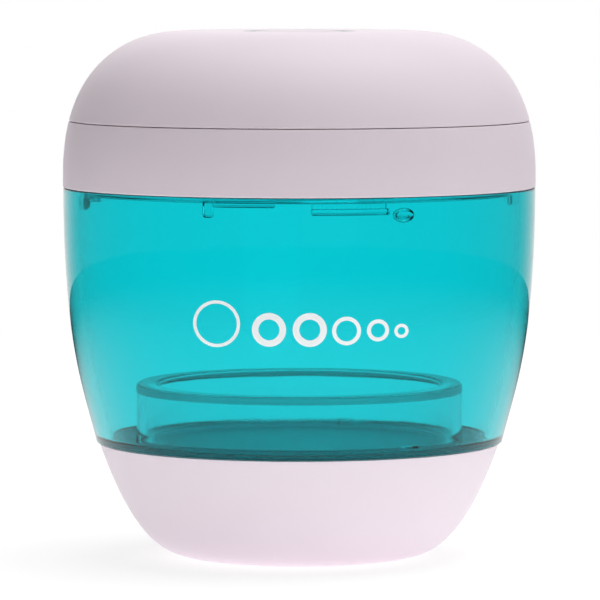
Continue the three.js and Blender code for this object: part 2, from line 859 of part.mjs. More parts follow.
place(lampGroup, 'quartz_window', disc(windowRadius, windowBottom, windowTop, midSegments), 'quartz');
place(lampGroup, 'window_seal', windowSeal(), 'silicone');
place(lampGroup, 'led_board', lampBoard(), 'ledBoard');
ledDirections.forEach((direction, index) => {
  const centre = spot(ledSpread, direction);
  const top = lampBoardBottom - fitGap;
  const led = joined(
    block(ledSide, ledSide, top - ledHeight / 2, top, centre),
    post(ledSide / 2 - fitGap, top - ledHeight, top - ledHeight / 2, centre),
  );
  place(lampGroup, `uv_led_${index + 1}`, led, 'ledCase');
});
lampScrewDirections.forEach((direction, index) => {
  const centre = spot(lampScrewPitch, direction);
  const position = new THREE.Vector3(centre.x, centre.y, lampScrewSeat);
  const screw = place(lampGroup, `led_board_screw_${index + 1}`, screwSolid(lampScrew), 'steel', position);
  screw.rotation.x = 2 * quarterTurn;
});

// Charging port: the socket under the main board, the hole for it and the soft flap over it

const socketWidth = 8.94;
const socketHeight = 3.2;
const socketDepth = 7.35;
const socketShell = 0.3;
const socketCorner = 1.25;
const socketBack = 1.2;
const tongueWidth = 6.7;
const tongueHeight = 0.7;
const tongueSetBack = 1;
const portPlay = 0.3; // round the socket's outline
const flapWidth = 14;
const flapHeight = 6.4;
const flapThickness = 1.1;
const flapCorner = 1.4;
const flapNosePlay = 0.6; // the nose is this much smaller than the hole, above and below
const anchorWidth = 8;
const anchorHeight = 1.2;
const anchorStud = 2.2; // reach of its stud, inwards from its face
const anchorStudHeight = 1;
const anchorStudWidth = 4;

// The socket's mouth stands just inside the flap's seat, at its upper corners
const socketTop = boardBottom - fitGap;
const socketMiddle = socketTop - socketHeight / 2;
const seatRadius = radiusAt(traced([crownCurve], flapThickness + slipGap), socketTop);
const socketMouth = Math.sqrt(seatRadius ** 2 - (socketWidth / 2) ** 2) - slipGap;
const flapLow = socketMiddle - flapHeight / 2;
const anchorLow = flapLow - slipGap - anchorHeight;

function portShape(width, height, corner) {
  return roundedRectangle(width, height, corner, at(0, socketMiddle));
}

function usbSocket() {
  const outer = portShape(socketWidth, socketHeight, socketCorner);
  const innerWidth = socketWidth - 2 * socketShell;
  const inner = portShape(innerWidth, socketHeight - 2 * socketShell, socketCorner - socketShell);
  const back = socketMouth - socketDepth;
  const tongue = portShape(tongueWidth, tongueHeight, tongueHeight / 4);
  return joined(
    cutBy(slabAlongY(outer, back, socketMouth), slabAlongY(inner, back + socketBack, socketMouth + overrun)),
    slabAlongY(tongue, back + socketBack - sink, socketMouth - tongueSetBack),
  );
}

function portHole() {
  const shape = portShape(socketWidth + 2 * portPlay, socketHeight + 2 * portPlay, socketCorner + portPlay);
  return slabAlongY(shape, socketMouth - lidWall, bodyRadius);
}

// What lies behind the flap's outline, from the middle of the case outwards
function flapOutline(spare) {
  const shape = portShape(flapWidth + 2 * spare, flapHeight + 2 * spare, flapCorner + spare);
  return slabAlongY(shape, 0, bodyRadius);
}

function anchorOutline(spare) {
  const middle = at(0, anchorLow + anchorHeight / 2);
  const corner = anchorHeight / 4 + spare;
  const shape = roundedRectangle(anchorWidth + 2 * spare, anchorHeight + 2 * spare, corner, middle);
  return slabAlongY(shape, 0, bodyRadius);
}

function studOutline(spare) {
  const middle = at(0, anchorLow + anchorHeight / 2);
  const height = anchorStudHeight + 2 * spare;
  const shape = roundedRectangle(anchorStudWidth + 2 * spare, height, height / 4, middle);
  const face = radiusAt(bodyOuter, anchorLow);
  return slabAlongY(shape, face - anchorStud - lidWall - spare, face - flapThickness / 2);
}

// The outer layer of the cap, as thick as the flap
function capSkin(thickness) {
  return capFilled(0).subtract(capFilled(thickness));
}

function portPlug() {
  const plate = flapOutline(0).intersect(capSkin(flapThickness));
  const corner = socketCorner - flapNosePlay / 2;
  const shape = portShape(socketWidth - 2 * portPlay, socketHeight + 2 * portPlay - 2 * flapNosePlay, corner);
  const nose = slabAlongY(shape, socketMouth + slipGap, bodyRadius);
  return joined(plate, nose.intersect(capFilled(flapThickness / 2)));
}

function plugAnchor() {
  const plate = anchorOutline(0).intersect(capSkin(flapThickness));
  return joined(plate, studOutline(0));
}

// Lid cap: the domed cover with its bosses, its button hole and its port

const buttonRadius = 7;
const buttonPlay = 0.25;
const guideWidth = 1.6; // of the visible light ring
const guideFlangeReach = 1.3;
const boardPostRadius = 2.2;
const guideInner = buttonRadius + buttonPlay;
const guideOuter = guideInner + guideWidth;

function capShell() {
  return turned([
    at(radiusAt(capInner, capBottom), capBottom),
    ...stretch(bodyOuter, capBottom, crown, capSteps),
    at(guideOuter + slipGap, crown),
    at(guideOuter + slipGap, ceiling),
    ...stretch(capInner, capBottom, ceiling, capSteps).reverse(),
  ]);
}

function lidCap() {
  const room = capFilled(lidWall / 2);
  let cap = capShell();
  for (const direction of lidScrewDirections) {
    const centre = spot(lidScrewPitch, direction);
    const boss = post(lidBossRadius, lidSeatTop + fitGap, crown, centre).intersect(room);
    const tip = lidScrewSeat + lidScrew.length + pilotSpare;
    cap = cutBy(joined(cap, boss), post(pilotRadius(lidScrew), lidSeatTop - overrun, tip, centre));
  }
  for (const centre of boardPosts) {
    const boss = post(boardPostRadius, boardTop + fitGap, crown, centre).intersect(room);
    const tip = boardScrewSeat + boardScrew.length + pilotSpare / 2;
    cap = cutBy(joined(cap, boss), post(pilotRadius(boardScrew), boardTop - overrun, tip, centre));
  }
  const behind = capFilled(flapThickness + slipGap);
  const flapSeat = joined(flapOutline(slipGap), anchorOutline(slipGap)).subtract(behind);
  return cutBy(cap, flapSeat, portHole(), studOutline(slipGap));
}

// Battery cradle: a tray with a low rim and three ears that share the board's screws

const earRadius = 2.5;
const reliefRadius = lampScrew.headRadius + 2 * slipGap;

function cradleEar(centre, wallPlace) {
  const middle = at(centre.x, (centre.y + wallPlace) / 2);
  const reach = Math.abs(centre.y - wallPlace);
  const inwards = Math.sign(wallPlace - centre.y) * (cradleWall / 2);
  return joined(
    post(earRadius, earTop - earThickness, earTop, centre),
    block(2 * earRadius, reach, earTop - earThickness, earTop, middle),
    block(2 * earRadius, cradleWall, cradleBottom, earTop, at(centre.x, wallPlace + inwards)),
  );
}

function batteryCradle() {
  const rimTopHeight = batteryBottom + cradleRise;
  const outer = roundedRectangle(cradleWidth, cradleDepth, batteryCorner + cradleWall, batteryMiddle);
  const room = roundedRectangle(
    batteryWidth + 2 * slipGap,
    batteryDepth + 2 * slipGap,
    batteryCorner + slipGap,
    batteryMiddle,
  );
  let cradle = slab(outer, cradleBottom, rimTopHeight);
  for (const centre of boardPosts) {
    cradle = joined(cradle, cradleEar(centre, centre.y < 0 ? cradleFront : cradleRear));
  }
  cradle = cutBy(cradle, slab(room, batteryBottom - fitGap, boardTop));
  for (const direction of lampScrewDirections) {
    const centre = spot(lampScrewPitch, direction);
    cradle = cutBy(cradle, post(reliefRadius, cradleBottom - overrun, batteryBottom, centre));
  }
  for (const centre of boardPosts) {
    cradle = cutBy(cradle, post(clearanceRadius(boardScrew), earTop - 2 * overrun, earTop + overrun, centre));
  }
  return cradle;
}

const batteryShape = roundedRectangle(batteryWidth, batteryDepth, batteryCorner, batteryMiddle);
const padMargin = 3;
const padShape = roundedRectangle(
  batteryWidth - 2 * padMargin,
  batteryDepth - 2 * padMargin,
  batteryCorner,
  batteryMiddle,
);

place(lidGroup, 'lid_cap', lidCap(), 'white');
lidScrewDirections.forEach((direction, index) => {
  const centre = spot(lidScrewPitch, direction);
  const position = new THREE.Vector3(centre.x, centre.y, lidScrewSeat);
  place(lidGroup, `lid_screw_${index + 1}`, screwSolid(lidScrew), 'steel', position);
});

place(controlGroup, 'battery_cradle', batteryCradle(), 'tray');
place(controlGroup, 'battery_cell', slab(batteryShape, batteryBottom, batteryTop), 'cell');
place(controlGroup, 'battery_pad', slab(padShape, batteryTop + fitGap, boardBottom - fitGap), 'foam');

// Main board, with a tab that reaches back over the socket

const boardTabWidth = 13;
const boardTabAway = 0.6; // from the cap's wall

function mainBoard() {
  const tabReach = radiusAt(capInner, boardTop) - boardTabAway;
  const tabEnd = Math.sqrt(tabReach ** 2 - (boardTabWidth / 2) ** 2);
  const round = disc(boardRadius, boardBottom, boardTop);
  const tab = block(boardTabWidth, tabEnd, boardBottom, boardTop, at(0, tabEnd / 2));
  const holes = boardPosts.map((centre) => (
    post(clearanceRadius(boardScrew), boardBottom - overrun, boardTop + overrun, centre)
  ));
  return cutBy(joined(round, tab), ...holes);
}

const chipGap = boardTop + fitGap;
const chargeChip = { width: 5, depth: 4, height: 1.5, away: 4, direction: 60 }; // away from the edge
const controlChip = { width: 7, depth: 7, height: 1, away: 5.2, direction: 265 };
const inductor = { width: 6, depth: 6, height: 2, away: 4.6, direction: 105 };
const switchSide = 5.2;
const stemRadius = 1.2;
const indicatorWidth = 1.6;
const indicatorHeight = 0.7;
const indicatorDirections = [45, 165, 285];

function component({ width, depth, height, away, direction }) {
  return block(width, depth, chipGap, chipGap + height, spot(boardRadius - away, direction));
}

function tactSwitch() {
  const body = block(switchSide, switchSide, chipGap, chipGap + switchHeight, axis);
  return joined(body, post(stemRadius, chipGap + switchHeight - sink, stemTop, axis));
}

place(controlGroup, 'main_board', mainBoard(), 'board');
place(controlGroup, 'charge_chip', component(chargeChip), 'chip');
place(controlGroup, 'control_chip', component(controlChip), 'chip');
place(controlGroup, 'boost_inductor', component(inductor), 'ferrite');
place(controlGroup, 'power_switch', tactSwitch(), 'black');
indicatorDirections.forEach((direction, index) => {
  const centre = spot(guideOuter - guideWidth / 2, direction);
  const led = block(indicatorWidth, indicatorWidth, chipGap, chipGap + indicatorHeight, centre);
  place(controlGroup, `status_led_${index + 1}`, led, 'clear');
});
boardPosts.forEach((centre, index) => {
  const position = new THREE.Vector3(centre.x, centre.y, boardScrewSeat);
  place(controlGroup, `board_screw_${index + 1}`, screwSolid(boardScrew), 'steel', position);
});
place(controlGroup, 'usb_socket', usbSocket(), 'steel');
place(lidGroup, 'plug_anchor', plugAnchor(), 'silicone');
place(lidGroup, 'port_plug', portPlug(), 'silicone');

// Power button and the light guide round it, flush with the flat top

const buttonTop = 1.4; // thickness of the button's face
const buttonSkirt = 1.2;
const buttonFlangeReach = 1.05; // past the button's own radius
const buttonFlange = 0.6;
const plungerRadius = 1.6;

function lightGuide() {
  return turned([
    at(guideInner, guideBottom),
    at(guideOuter + guideFlangeReach, guideBottom),
    at(guideOuter + guideFlangeReach, guideBottom + guideFlange),
    at(guideOuter, guideBottom + guideFlange),
    at(guideOuter, crown),
    at(guideInner, crown),
    at(guideInner, guideBottom),
  ], midSegments);
}

function powerButton() {
  const flangeTop = guideBottom - slipGap;
  const flangeBottom = flangeTop - buttonFlange;
  const face = crown - buttonTop;
  return turned([
    at(0, guideBottom),
    at(plungerRadius, guideBottom),
    at(plungerRadius, face),
    at(buttonRadius - buttonSkirt, face),
    at(buttonRadius - buttonSkirt, flangeBottom),
    at(buttonRadius + buttonFlangeReach, flangeBottom),
    at(buttonRadius + buttonFlangeReach, flangeTop),
    at(buttonRadius, flangeTop),
    at(buttonRadius, crown),
    at(0, crown),
  ], midSegments);
}

place(lidGroup, 'indicator_ring', lightGuide(), 'clear');
place(lidGroup, 'power_button', powerButton(), 'white');

// Wires and the sensor's ribbon, clipped between their boards

const wireRadius = 0.5;
const wireSides = 6;
const wireSteps = 6;
const wireBow = 0.8;
const lampWireAway = 2.9; // behind the cradle
const lampWirePlaces = [5.7, 2.7]; // inwards from the ear at the rear
const batteryWirePlaces = [3, 6];
const batteryWireDrop = 0.9; // below the battery's top
const batteryWireReach = 2.6;

function wire(points) {
  const shape = new THREE.Shape();
  shape.absarc(0, 0, wireRadius, 0, 4 * quarterTurn);
  const path = new THREE.CatmullRomCurve3(points);
  const settings = { steps: wireSteps, extrudePath: path, curveSegments: wireSides / 2 };
  return toSolid(new THREE.ExtrudeGeometry(shape, settings));
}

function lampWire(away) {
  const x = boardPosts[1].x - earRadius - away;
  const y = cradleRear + lampWireAway;
  const low = lampBoardTop + fitGap;
  const high = boardBottom - fitGap;
  return wire([
    new THREE.Vector3(x, y - wireBow, low),
    new THREE.Vector3(x, y - wireBow, low + wireBow),
    new THREE.Vector3(x, y, (low + high) / 2),
    new THREE.Vector3(x, y + wireBow, high - wireBow),
    new THREE.Vector3(x, y + wireBow, high),
  ]);
}

function batteryWire(y) {
  const start = batteryWidth / 2 + fitGap;
  const height = batteryTop - batteryWireDrop;
  return wire([
    new THREE.Vector3(start, y, height),
    new THREE.Vector3(start + batteryWireReach / 2, y, height),
    new THREE.Vector3(start + batteryWireReach, y, height + wireBow),
    new THREE.Vector3(start + batteryWireReach, y, boardBottom - fitGap),
  ]);
}

// The ribbon climbs in three steps: out of the trough, over the lamp's board and up to the main one
function sensorFlex() {
  const outerY = sensorRadius + flexThickness / 2;
  const innerY = boardPosts[1].y + earRadius;
  const stepY = Math.max(innerY, lampBoardRadius) + flexAway;
  const low = sensorBottom + sensorHeight + fitGap;
  const high = boardBottom - fitGap;
  const upperShelf = lampBoardTop + fitGap;
  const shape = polygon([
    at(outerY, low),
    at(outerY, flexShelf + flexThickness),
    at(stepY + flexThickness, flexShelf + flexThickness),
    at(stepY + flexThickness, upperShelf + flexThickness),
    at(innerY + flexThickness, upperShelf + flexThickness),
    at(innerY + flexThickness, high),
    at(innerY, high),
    at(innerY, upperShelf),
    at(stepY, upperShelf),
    at(stepY, flexShelf),
    at(outerY - flexThickness, flexShelf),
    at(outerY - flexThickness, low),
  ]);
  return slabAcrossX(shape, flexWidth, sensorSpot.x);
}

['red', 'black'].forEach((colour, index) => {
  place(lampGroup, `led_lead_${colour}`, lampWire(lampWirePlaces[index]), colour);
  place(controlGroup, `battery_lead_${colour}`, batteryWire(batteryWirePlaces[index]), colour);
});
place(controlGroup, 'sensor_flex', sensorFlex(), 'flex');
const sensor = block(sensorWidth, sensorDepth, sensorBottom, sensorBottom + sensorHeight, sensorSpot);
place(controlGroup, 'hall_sensor', sensor, 'chip');

export default caseGroup;
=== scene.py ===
"""Pacifier sterilizer case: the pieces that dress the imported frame, their finishes and the stage."""

import math

import bmesh
import bpy
from mathutils import Matrix, Vector
from mathutils.geometry import interpolate_bezier


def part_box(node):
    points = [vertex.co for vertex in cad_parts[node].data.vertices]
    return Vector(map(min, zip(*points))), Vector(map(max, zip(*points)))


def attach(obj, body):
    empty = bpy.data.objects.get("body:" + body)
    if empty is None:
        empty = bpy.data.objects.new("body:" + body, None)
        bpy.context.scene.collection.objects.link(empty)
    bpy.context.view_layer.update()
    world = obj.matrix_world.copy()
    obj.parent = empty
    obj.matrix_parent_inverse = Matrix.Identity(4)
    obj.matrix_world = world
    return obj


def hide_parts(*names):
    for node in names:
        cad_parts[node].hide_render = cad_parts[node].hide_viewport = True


bl_info = {
    "name": "Pacifier Sterilizer Case",
    "version": (1, 0, 0),
    "blender": (4, 5, 0),
    "location": "View3D > Sidebar > Sterilizer Case",
    "description": "Builds the cup, base and lid of a pacifier sterilizer case with their finishes",
    "category": "Add Mesh",
}

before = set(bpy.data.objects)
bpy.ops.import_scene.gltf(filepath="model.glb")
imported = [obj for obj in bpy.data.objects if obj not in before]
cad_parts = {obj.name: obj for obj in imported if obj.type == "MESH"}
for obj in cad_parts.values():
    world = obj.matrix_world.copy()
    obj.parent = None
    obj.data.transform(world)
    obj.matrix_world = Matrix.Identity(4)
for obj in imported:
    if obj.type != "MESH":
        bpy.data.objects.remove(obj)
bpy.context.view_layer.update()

# Lengths in this file are in metres, written as millimetres times MM
MM = 0.001
ROUND, DISC, FINE, SMALL, BORE = 160, 96, 64, 48, 32  # steps of a full turn, for large pieces to bores
CURVE_POINTS = 72  # along each curve of the outline
WELD, CAD_WELD = 1e-7, 1e-6  # points this close are one, here and in the CAD's solids


def linear(code):
    """An sRGB hex value as linear red, green and blue"""
    channels = (int(code[i:i + 2], 16) / 255 for i in (1, 3, 5))
    return tuple(c / 12.92 if c <= 0.04045 else ((c + 0.055) / 1.055) ** 2.4 for c in channels)


def colour_property(name, description, code):
    return bpy.props.FloatVectorProperty(
        name=name, description=description, default=linear(code), subtype="COLOR", min=0, max=1
    )


def length_property(name, description, default):
    return bpy.props.FloatProperty(name=name, description=description, default=default, unit="LENGTH")


class CaseShape(bpy.types.PropertyGroup):
    body_radius: length_property("Body Radius", "Widest circle of the case", 37.5 * MM)
    base_height: length_property("Base Height", "Table to the seam of base and cup", 18.3 * MM)
    mouth_height: length_property("Mouth Height", "Table to the seam of cup and lid", 58.8 * MM)
    cap_seam_height: length_property("Cap Seam Height", "Table to the seam in the lid", 69.3 * MM)
    crown_height: length_property("Crown Height", "Table to the flat top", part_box("lid_cap")[1].z)
    cup_foot_radius: length_property("Cup Foot Radius", "The cup at its lower seam", 32.25 * MM)
    underside_radius: length_property("Underside Radius", "Where the bowl leaves the table", 17.6 * MM)
    top_flat_radius: length_property("Top Flat Radius", "Flat part of the lid's top", 19.2 * MM)
    cup_wall: length_property("Cup Wall", "Thickness of the clear cup", 2.4 * MM)
    lid_wall: length_property("Lid Wall", "Thickness of the lid's cap", 2 * MM)
    edge_round: length_property("Edge Rounding", "Rounding of the covers' edges at the seams", 0.18 * MM)
    seam_gap: length_property("Seam Gap", "Open gap at each seam", 0.12 * MM)
    button_radius: length_property("Button Radius", "Power button in the flat top", 7 * MM)


class CaseColours(bpy.types.PropertyGroup):
    covers: colour_property("Covers", "White plastic of base and lid", "#E4D8E0")
    cup: colour_property("Cup", "Tint of the clear cup", "#50F7FC")
    stand: colour_property("Stand", "Tint of the clear stand", "#F4FDFD")
    print_ink: colour_property("Print", "Ink of the rings on the cup", "#F6FBFB")
    rubber: colour_property("Rubber", "Foot, seals and port flap", "#C9BEC6")


def shape():
    return bpy.context.scene.case_shape


def colours():
    return bpy.context.scene.case_colours


# Finishes


def add(tree, kind, inputs=(), **settings):
    """Adds one node of a kind, its type without ShaderNode: settings are its properties, and inputs
    the values of its sockets, by name or in order. A node or a socket as a value is linked, a node
    by its first output
    """
    node = tree.nodes.new("ShaderNode" + kind)
    for key, value in settings.items():
        setattr(node, key, value)
    for key, value in inputs.items() if isinstance(inputs, dict) else enumerate(inputs):
        if isinstance(value, bpy.types.Node):
            value = value.outputs[0]
        if isinstance(value, bpy.types.NodeSocket):
            tree.links.new(value, node.inputs[key])
        else:
            node.inputs[key].default_value = value
    return node


def empty_tree(owner):
    """The node tree of a new material or world"""
    owner.use_nodes = True
    owner.node_tree.nodes.clear()
    return owner.node_tree


def per(length_mm):
    """Scale of a pattern whose features are this long"""
    return 1 / (length_mm * MM)


def grey(level):
    return (level, level, level, 1)


def zone_mask(tree, place, zones):
    """1 where a point's height and distance from the axis are inside a zone, otherwise 0"""
    height = add(tree, "SeparateXYZ", [place]).outputs["Z"]
    flat = add(tree, "VectorMath", (place, (1, 1, 0)), operation="MULTIPLY")
    radius = add(tree, "VectorMath", [flat], operation="LENGTH").outputs["Value"]
    mask = None
    for low, high, inner, outer in zones:
        tall, wide = (
            add(tree, "Math", (value, (start + end) / 2, (end - start) / 2), operation="COMPARE")
            for value, start, end in ((height, low, high), (radius, inner, outer))
        )
        both = add(tree, "Math", (tall, wide), operation="MULTIPLY")
        mask = add(tree, "Math", (mask, both), operation="MAXIMUM") if mask else both
    return mask


GLOSS_SPREAD = 0.15  # how far the roughness strays from its mean
CLOUDY_ROUGHNESS = 0.45
WAVE_RATE = 20  # radians that a wave texture of scale 1 turns in one unit


def made_material(name, colour, roughness, grain, depth, cloud, spread, texture="NOISE", absorbed=None,
                  cloudy=(), cloudy_clear=0.3, **shader):
    """A principled material with a clouded colour, uneven gloss and a moulded or worked grain.

    grain and cloud are the sizes of the fine and the coarse pattern in millimetres, depth is the
    height of the grain and spread how far the colour strays from its mean. absorbed is the share of
    red, green and blue that a centimetre of the stuff takes away. cloudy are zones (lowest, highest,
    nearest, furthest) where the mould is eroded and a clear stuff is not, and cloudy_clear is the
    transmission that is left there
    """
    material = bpy.data.materials.new(name)
    tree = empty_tree(material)
    rgb = linear(colour) if colour.startswith("#") else tuple(getattr(colours(), colour))
    low, high = ([min(1, c * share) for c in rgb] + [1] for share in (1 - spread, 1 + spread))
    place = add(tree, "TexCoord").outputs["Object"]
    clouds = add(tree, "TexNoise", {"Vector": place, "Scale": per(cloud), "Detail": 3.0})
    tint = add(tree, "Mix", {0: clouds, 6: low, 7: high}, data_type="RGBA")
    dull, bright = roughness * (1 + GLOSS_SPREAD), roughness * (1 - GLOSS_SPREAD)
    gloss = add(tree, "MapRange", {"Value": clouds, "To Min": bright, "To Max": dull})
    if texture == "CELLS":
        fine = add(tree, "TexVoronoi", {"Vector": place, "Scale": per(grain)})
    elif texture == "RINGS":
        fine = add(
            tree, "TexWave",
            {"Vector": place, "Scale": per(grain) / WAVE_RATE, "Distortion": 0.6, "Detail": 2.0},
            wave_type="RINGS", rings_direction="Z",
        ).outputs["Fac"]
    else:
        fine = add(tree, "TexNoise", {"Vector": place, "Scale": per(grain), "Detail": 2.0})
    bump = add(tree, "Bump", {"Height": fine, "Distance": depth * MM, "Strength": 1.0})
    sockets = {"Base Color": tint.outputs[2], "Roughness": gloss, "Normal": bump, **shader}
    if cloudy:
        mask = zone_mask(tree, place, cloudy)
        for key, there in (("Roughness", CLOUDY_ROUGHNESS), ("Transmission Weight", cloudy_clear)):
            sockets[key] = add(tree, "Mix", {0: mask, 2: sockets[key], 3: there})
    result = {"Surface": add(tree, "BsdfPrincipled", sockets)}
    if absorbed:
        loss = [-math.log(1 - share) / (10 * MM) for share in absorbed]
        density = max(loss)
        kept = [1 - value / density for value in loss] + [1]
        result["Volume"] = add(tree, "VolumeAbsorption", {"Color": kept, "Density": density})
    add(tree, "OutputMaterial", result)
    return material


# The clear resins mirror less of the studio face on than bare gloss would
CLEAR_RESIN = {"Transmission Weight": 1.0, "IOR": 1.58, "Specular Tint": grey(0.33)}
METAL = {"Metallic": 1.0}
# Eroded zones: of the cup, what is sunk in the base and the flat of the chamber's floor, and of the
# stand, the edge of its rim
CUP_TEXTURE = ((0.0, 18.3 * MM, 0.0, 40 * MM), (18.3 * MM, 19.0 * MM, 0.0, 31 * MM))
STAND_TEXTURE = ((26.6 * MM, 27.7 * MM, 25.8 * MM, 40 * MM),)

# One recipe for each finish, named for the real material: its colour, as a hex value or one of the
# case's own colours, its roughness, the size and the height of its grain, the size of its clouds,
# how far its colour strays, and what else made_material is told
FINISHES = {
    # injection-moulded ABS from a fine-eroded mould: satin, with a faint pink cast
    "satin_abs": ("covers", 0.42, 0.35, 0.004, 12, 0.012, {}),
    # polished clear polycarbonate: a hard gloss and almost no grain, tinted right through, so that
    # it darkens where the eye looks along the wall; cloudy on the chamber's floor and below it
    "teal_polycarbonate": (
        "cup", 0.03, 9, 0.012, 22, 0.02,
        {**CLEAR_RESIN, "absorbed": (0.98, 0.56, 0.54), "cloudy": CUP_TEXTURE, "cloudy_clear": 0.0},
    ),
    # the same resin with a lighter tint: a clear wall, and a rim whose eroded edge reads as a deep
    # teal band
    "tinted_polycarbonate": (
        "stand", 0.05, 6, 0.01, 12, 0.01,
        {**CLEAR_RESIN, "absorbed": (0.9, 0.2, 0.18), "cloudy": STAND_TEXTURE},
    ),
    # the same resin with hardly any tint, which shows only along its edges
    "clear_polycarbonate": (
        "stand", 0.05, 6, 0.01, 12, 0.01, {**CLEAR_RESIN, "absorbed": (0.6, 0.24, 0.2)}
    ),
    # diffusing grade of polycarbonate, cloudy so that the light spreads in it
    "frosted_polycarbonate": (
        "#EEF2F3", 0.5, 0.3, 0.01, 12, 0.02, {"Transmission Weight": 0.55, "IOR": 1.58}
    ),
    # moulded silicone: soft, matt and a little dusty
    "matt_silicone": ("rubber", 0.72, 0.25, 0.01, 12, 0.02, {"IOR": 1.41}),
    # pad-printing ink: flat, opaque, with a slightly ragged gloss
    "white_pad_ink": ("print_ink", 0.5, 0.2, 0.003, 12, 0.03, {}),
    "grey_pad_ink": ("#8E8A90", 0.55, 0.2, 0.003, 12, 0.03, {}),
    # zinc-plated steel screws: dull bright metal with a fine turned grain
    "zinc_plated_steel": ("#B4B6BA", 0.34, 0.3, 0.006, 2, 0.06, METAL),
    # deep-drawn steel shell, smooth with faint drawing lines
    "drawn_steel": ("#C6C8CC", 0.26, 0.6, 0.003, 4, 0.04, METAL),
    # spun and polished aluminium: mirror-bright, with the lathe's rings
    "spun_aluminium": ("#E6E8EA", 0.12, 0.8, 0.002, 12, 0.02, {**METAL, "texture": "RINGS"}),
    # fused quartz plate, flame-polished
    "fused_quartz": ("#F4FAFC", 0.02, 8, 0.002, 12, 0.005, {"Transmission Weight": 1.0, "IOR": 1.46}),
    # white solder mask over an aluminium board: chalky, slightly uneven
    "white_solder_mask": ("#EEEFEA", 0.45, 0.5, 0.006, 12, 0.03, {}),
    # sintered alumina of the diode packages
    "alumina_ceramic": ("#E6DEC4", 0.5, 0.15, 0.006, 12, 0.03, {}),
    # gold flash over copper on the diodes' lids and the socket's contacts
    "gold_flash": ("#E2BE6A", 0.22, 0.2, 0.002, 12, 0.03, METAL),
    # undyed ABS moulding of the battery's tray
    "natural_abs": ("#E2DFD6", 0.5, 0.3, 0.01, 12, 0.03, {}),
    # printed shrink sleeve over the cell: soft blue film that wrinkles a little
    "shrink_sleeve": ("#4F74A8", 0.35, 2.4, 0.05, 6, 0.03, {}),
    # open-cell foam pad
    "open_cell_foam": ("#3C3D40", 0.95, 0.5, 0.15, 3, 0.12, {"texture": "CELLS"}),
    # green solder mask over woven glass: the weave shows faintly
    "green_solder_mask": ("#1D5B3F", 0.35, 0.7, 0.012, 3, 0.15, {"texture": "CELLS"}),
    # moulded epoxy of the chips, matt from the mould
    "epoxy_resin": ("#202124", 0.6, 0.12, 0.008, 12, 0.1, {}),
    # pressed ferrite powder
    "pressed_ferrite": ("#4A4A4E", 0.7, 0.2, 0.02, 12, 0.12, {}),
    # nickel plate on the sintered magnet
    "nickel_plate": ("#C4C4C2", 0.2, 0.5, 0.002, 12, 0.03, METAL),
    # soft PVC insulation of the leads
    "red_pvc": ("#B3262A", 0.5, 0.3, 0.006, 12, 0.05, {}),
    "black_pvc": ("#26272A", 0.5, 0.3, 0.006, 12, 0.08, {}),
    # amber polyimide film of the ribbon
    "polyimide_film": ("#B9822F", 0.3, 1.2, 0.008, 12, 0.08, {}),
}


def finish_of(name):
    """The material of a finish, made when it is first asked for"""
    if name in bpy.data.materials:
        return bpy.data.materials[name]
    *measures, others = FINISHES[name]
    return made_material(name, *measures, **others)


# The outline of the case, as lines of (radius, height) that run upwards. The shares and the angles
# in them set the handles of the curves that were fitted to the case's outline

UNDERSIDE = 0.3 * MM  # height of the bowl's own underside, round the foot pad


def traced(knots, inset=0.0):
    """Closely spaced points of one curve, moved square to it and inwards"""
    points = interpolate_bezier(*(Vector(knot) for knot in knots), CURVE_POINTS)
    moved = []
    for index, point in enumerate(points):
        before, after = points[max(index - 1, 0)], points[min(index + 1, len(points) - 1)]
        along = (after - before).normalized()
        moved.append(Vector((point.x - along.y * inset, point.y + along.x * inset)))
    return moved


def leaning(x, y, degrees, length):
    angle = math.radians(degrees)
    return (x + length * math.sin(angle), y + length * math.cos(angle))


def bowl_line(inset=0.0):
    s = shape()
    top = (s.cup_foot_radius - 0.4 * MM, s.base_height)
    foot = (s.underside_radius, UNDERSIDE)
    pull = foot[0] + 0.42 * (top[0] - foot[0])
    return traced([foot, (pull, foot[1]), leaning(*top, 19, -0.645 * s.base_height), top], inset)


def widest_height():
    return shape().mouth_height + 2.1 * MM


def flank_line(inset=0.0):
    s = shape()
    foot = (s.cup_foot_radius, s.base_height)
    rise = widest_height() - s.base_height
    waist = (s.body_radius, widest_height())
    return traced(
        [foot, leaning(*foot, 13.5, 0.225 * rise), (waist[0], waist[1] - 0.645 * rise), waist], inset
    )


def crown_line(inset=0.0):
    s = shape()
    waist = (s.body_radius, widest_height())
    rise = s.crown_height - widest_height()
    ease = s.top_flat_radius + 0.27 * (s.body_radius - s.top_flat_radius)
    edge = (s.top_flat_radius, s.crown_height)
    return traced([waist, (waist[0], waist[1] + 0.885 * rise), (ease, edge[1]), edge], inset)


def body_line(inset=0.0):
    return flank_line(inset) + crown_line(inset)[1:]


def radius_at(line, height):
    if height <= line[0].y:
        return line[0].x
    for below, above in zip(line, line[1:]):
        if below.y <= height <= above.y and above.y > below.y:
            return below.lerp(above, (height - below.y) / (above.y - below.y)).x
    return line[-1].x


def stretch(line, low, high, steps, first=0.0, last=0.0):
    """Evenly spaced corners of a line between two heights, the end ones with a rounding"""
    kept = [Vector((radius_at(line, low), low))]
    kept += [point for point in line if low < point.y < high]
    kept.append(Vector((radius_at(line, high), high)) if high < line[-1].y else line[-1].copy())
    runs = [0.0]
    for before, after in zip(kept, kept[1:]):
        runs.append(runs[-1] + (after - before).length)
    corners, index = [], 1
    for step in range(steps + 1):
        run = runs[-1] * step / steps
        while index < len(runs) - 1 and runs[index] < run:
            index += 1
        share = (run - runs[index - 1]) / max(runs[index] - runs[index - 1], 1e-9)
        point = kept[index - 1].lerp(kept[index], share)
        corners.append((point.x, point.y, first if step == 0 else last if step == steps else 0.0))
    return corners


def millimetres(*corners):
    return [tuple(value * MM for value in corner) for corner in corners]


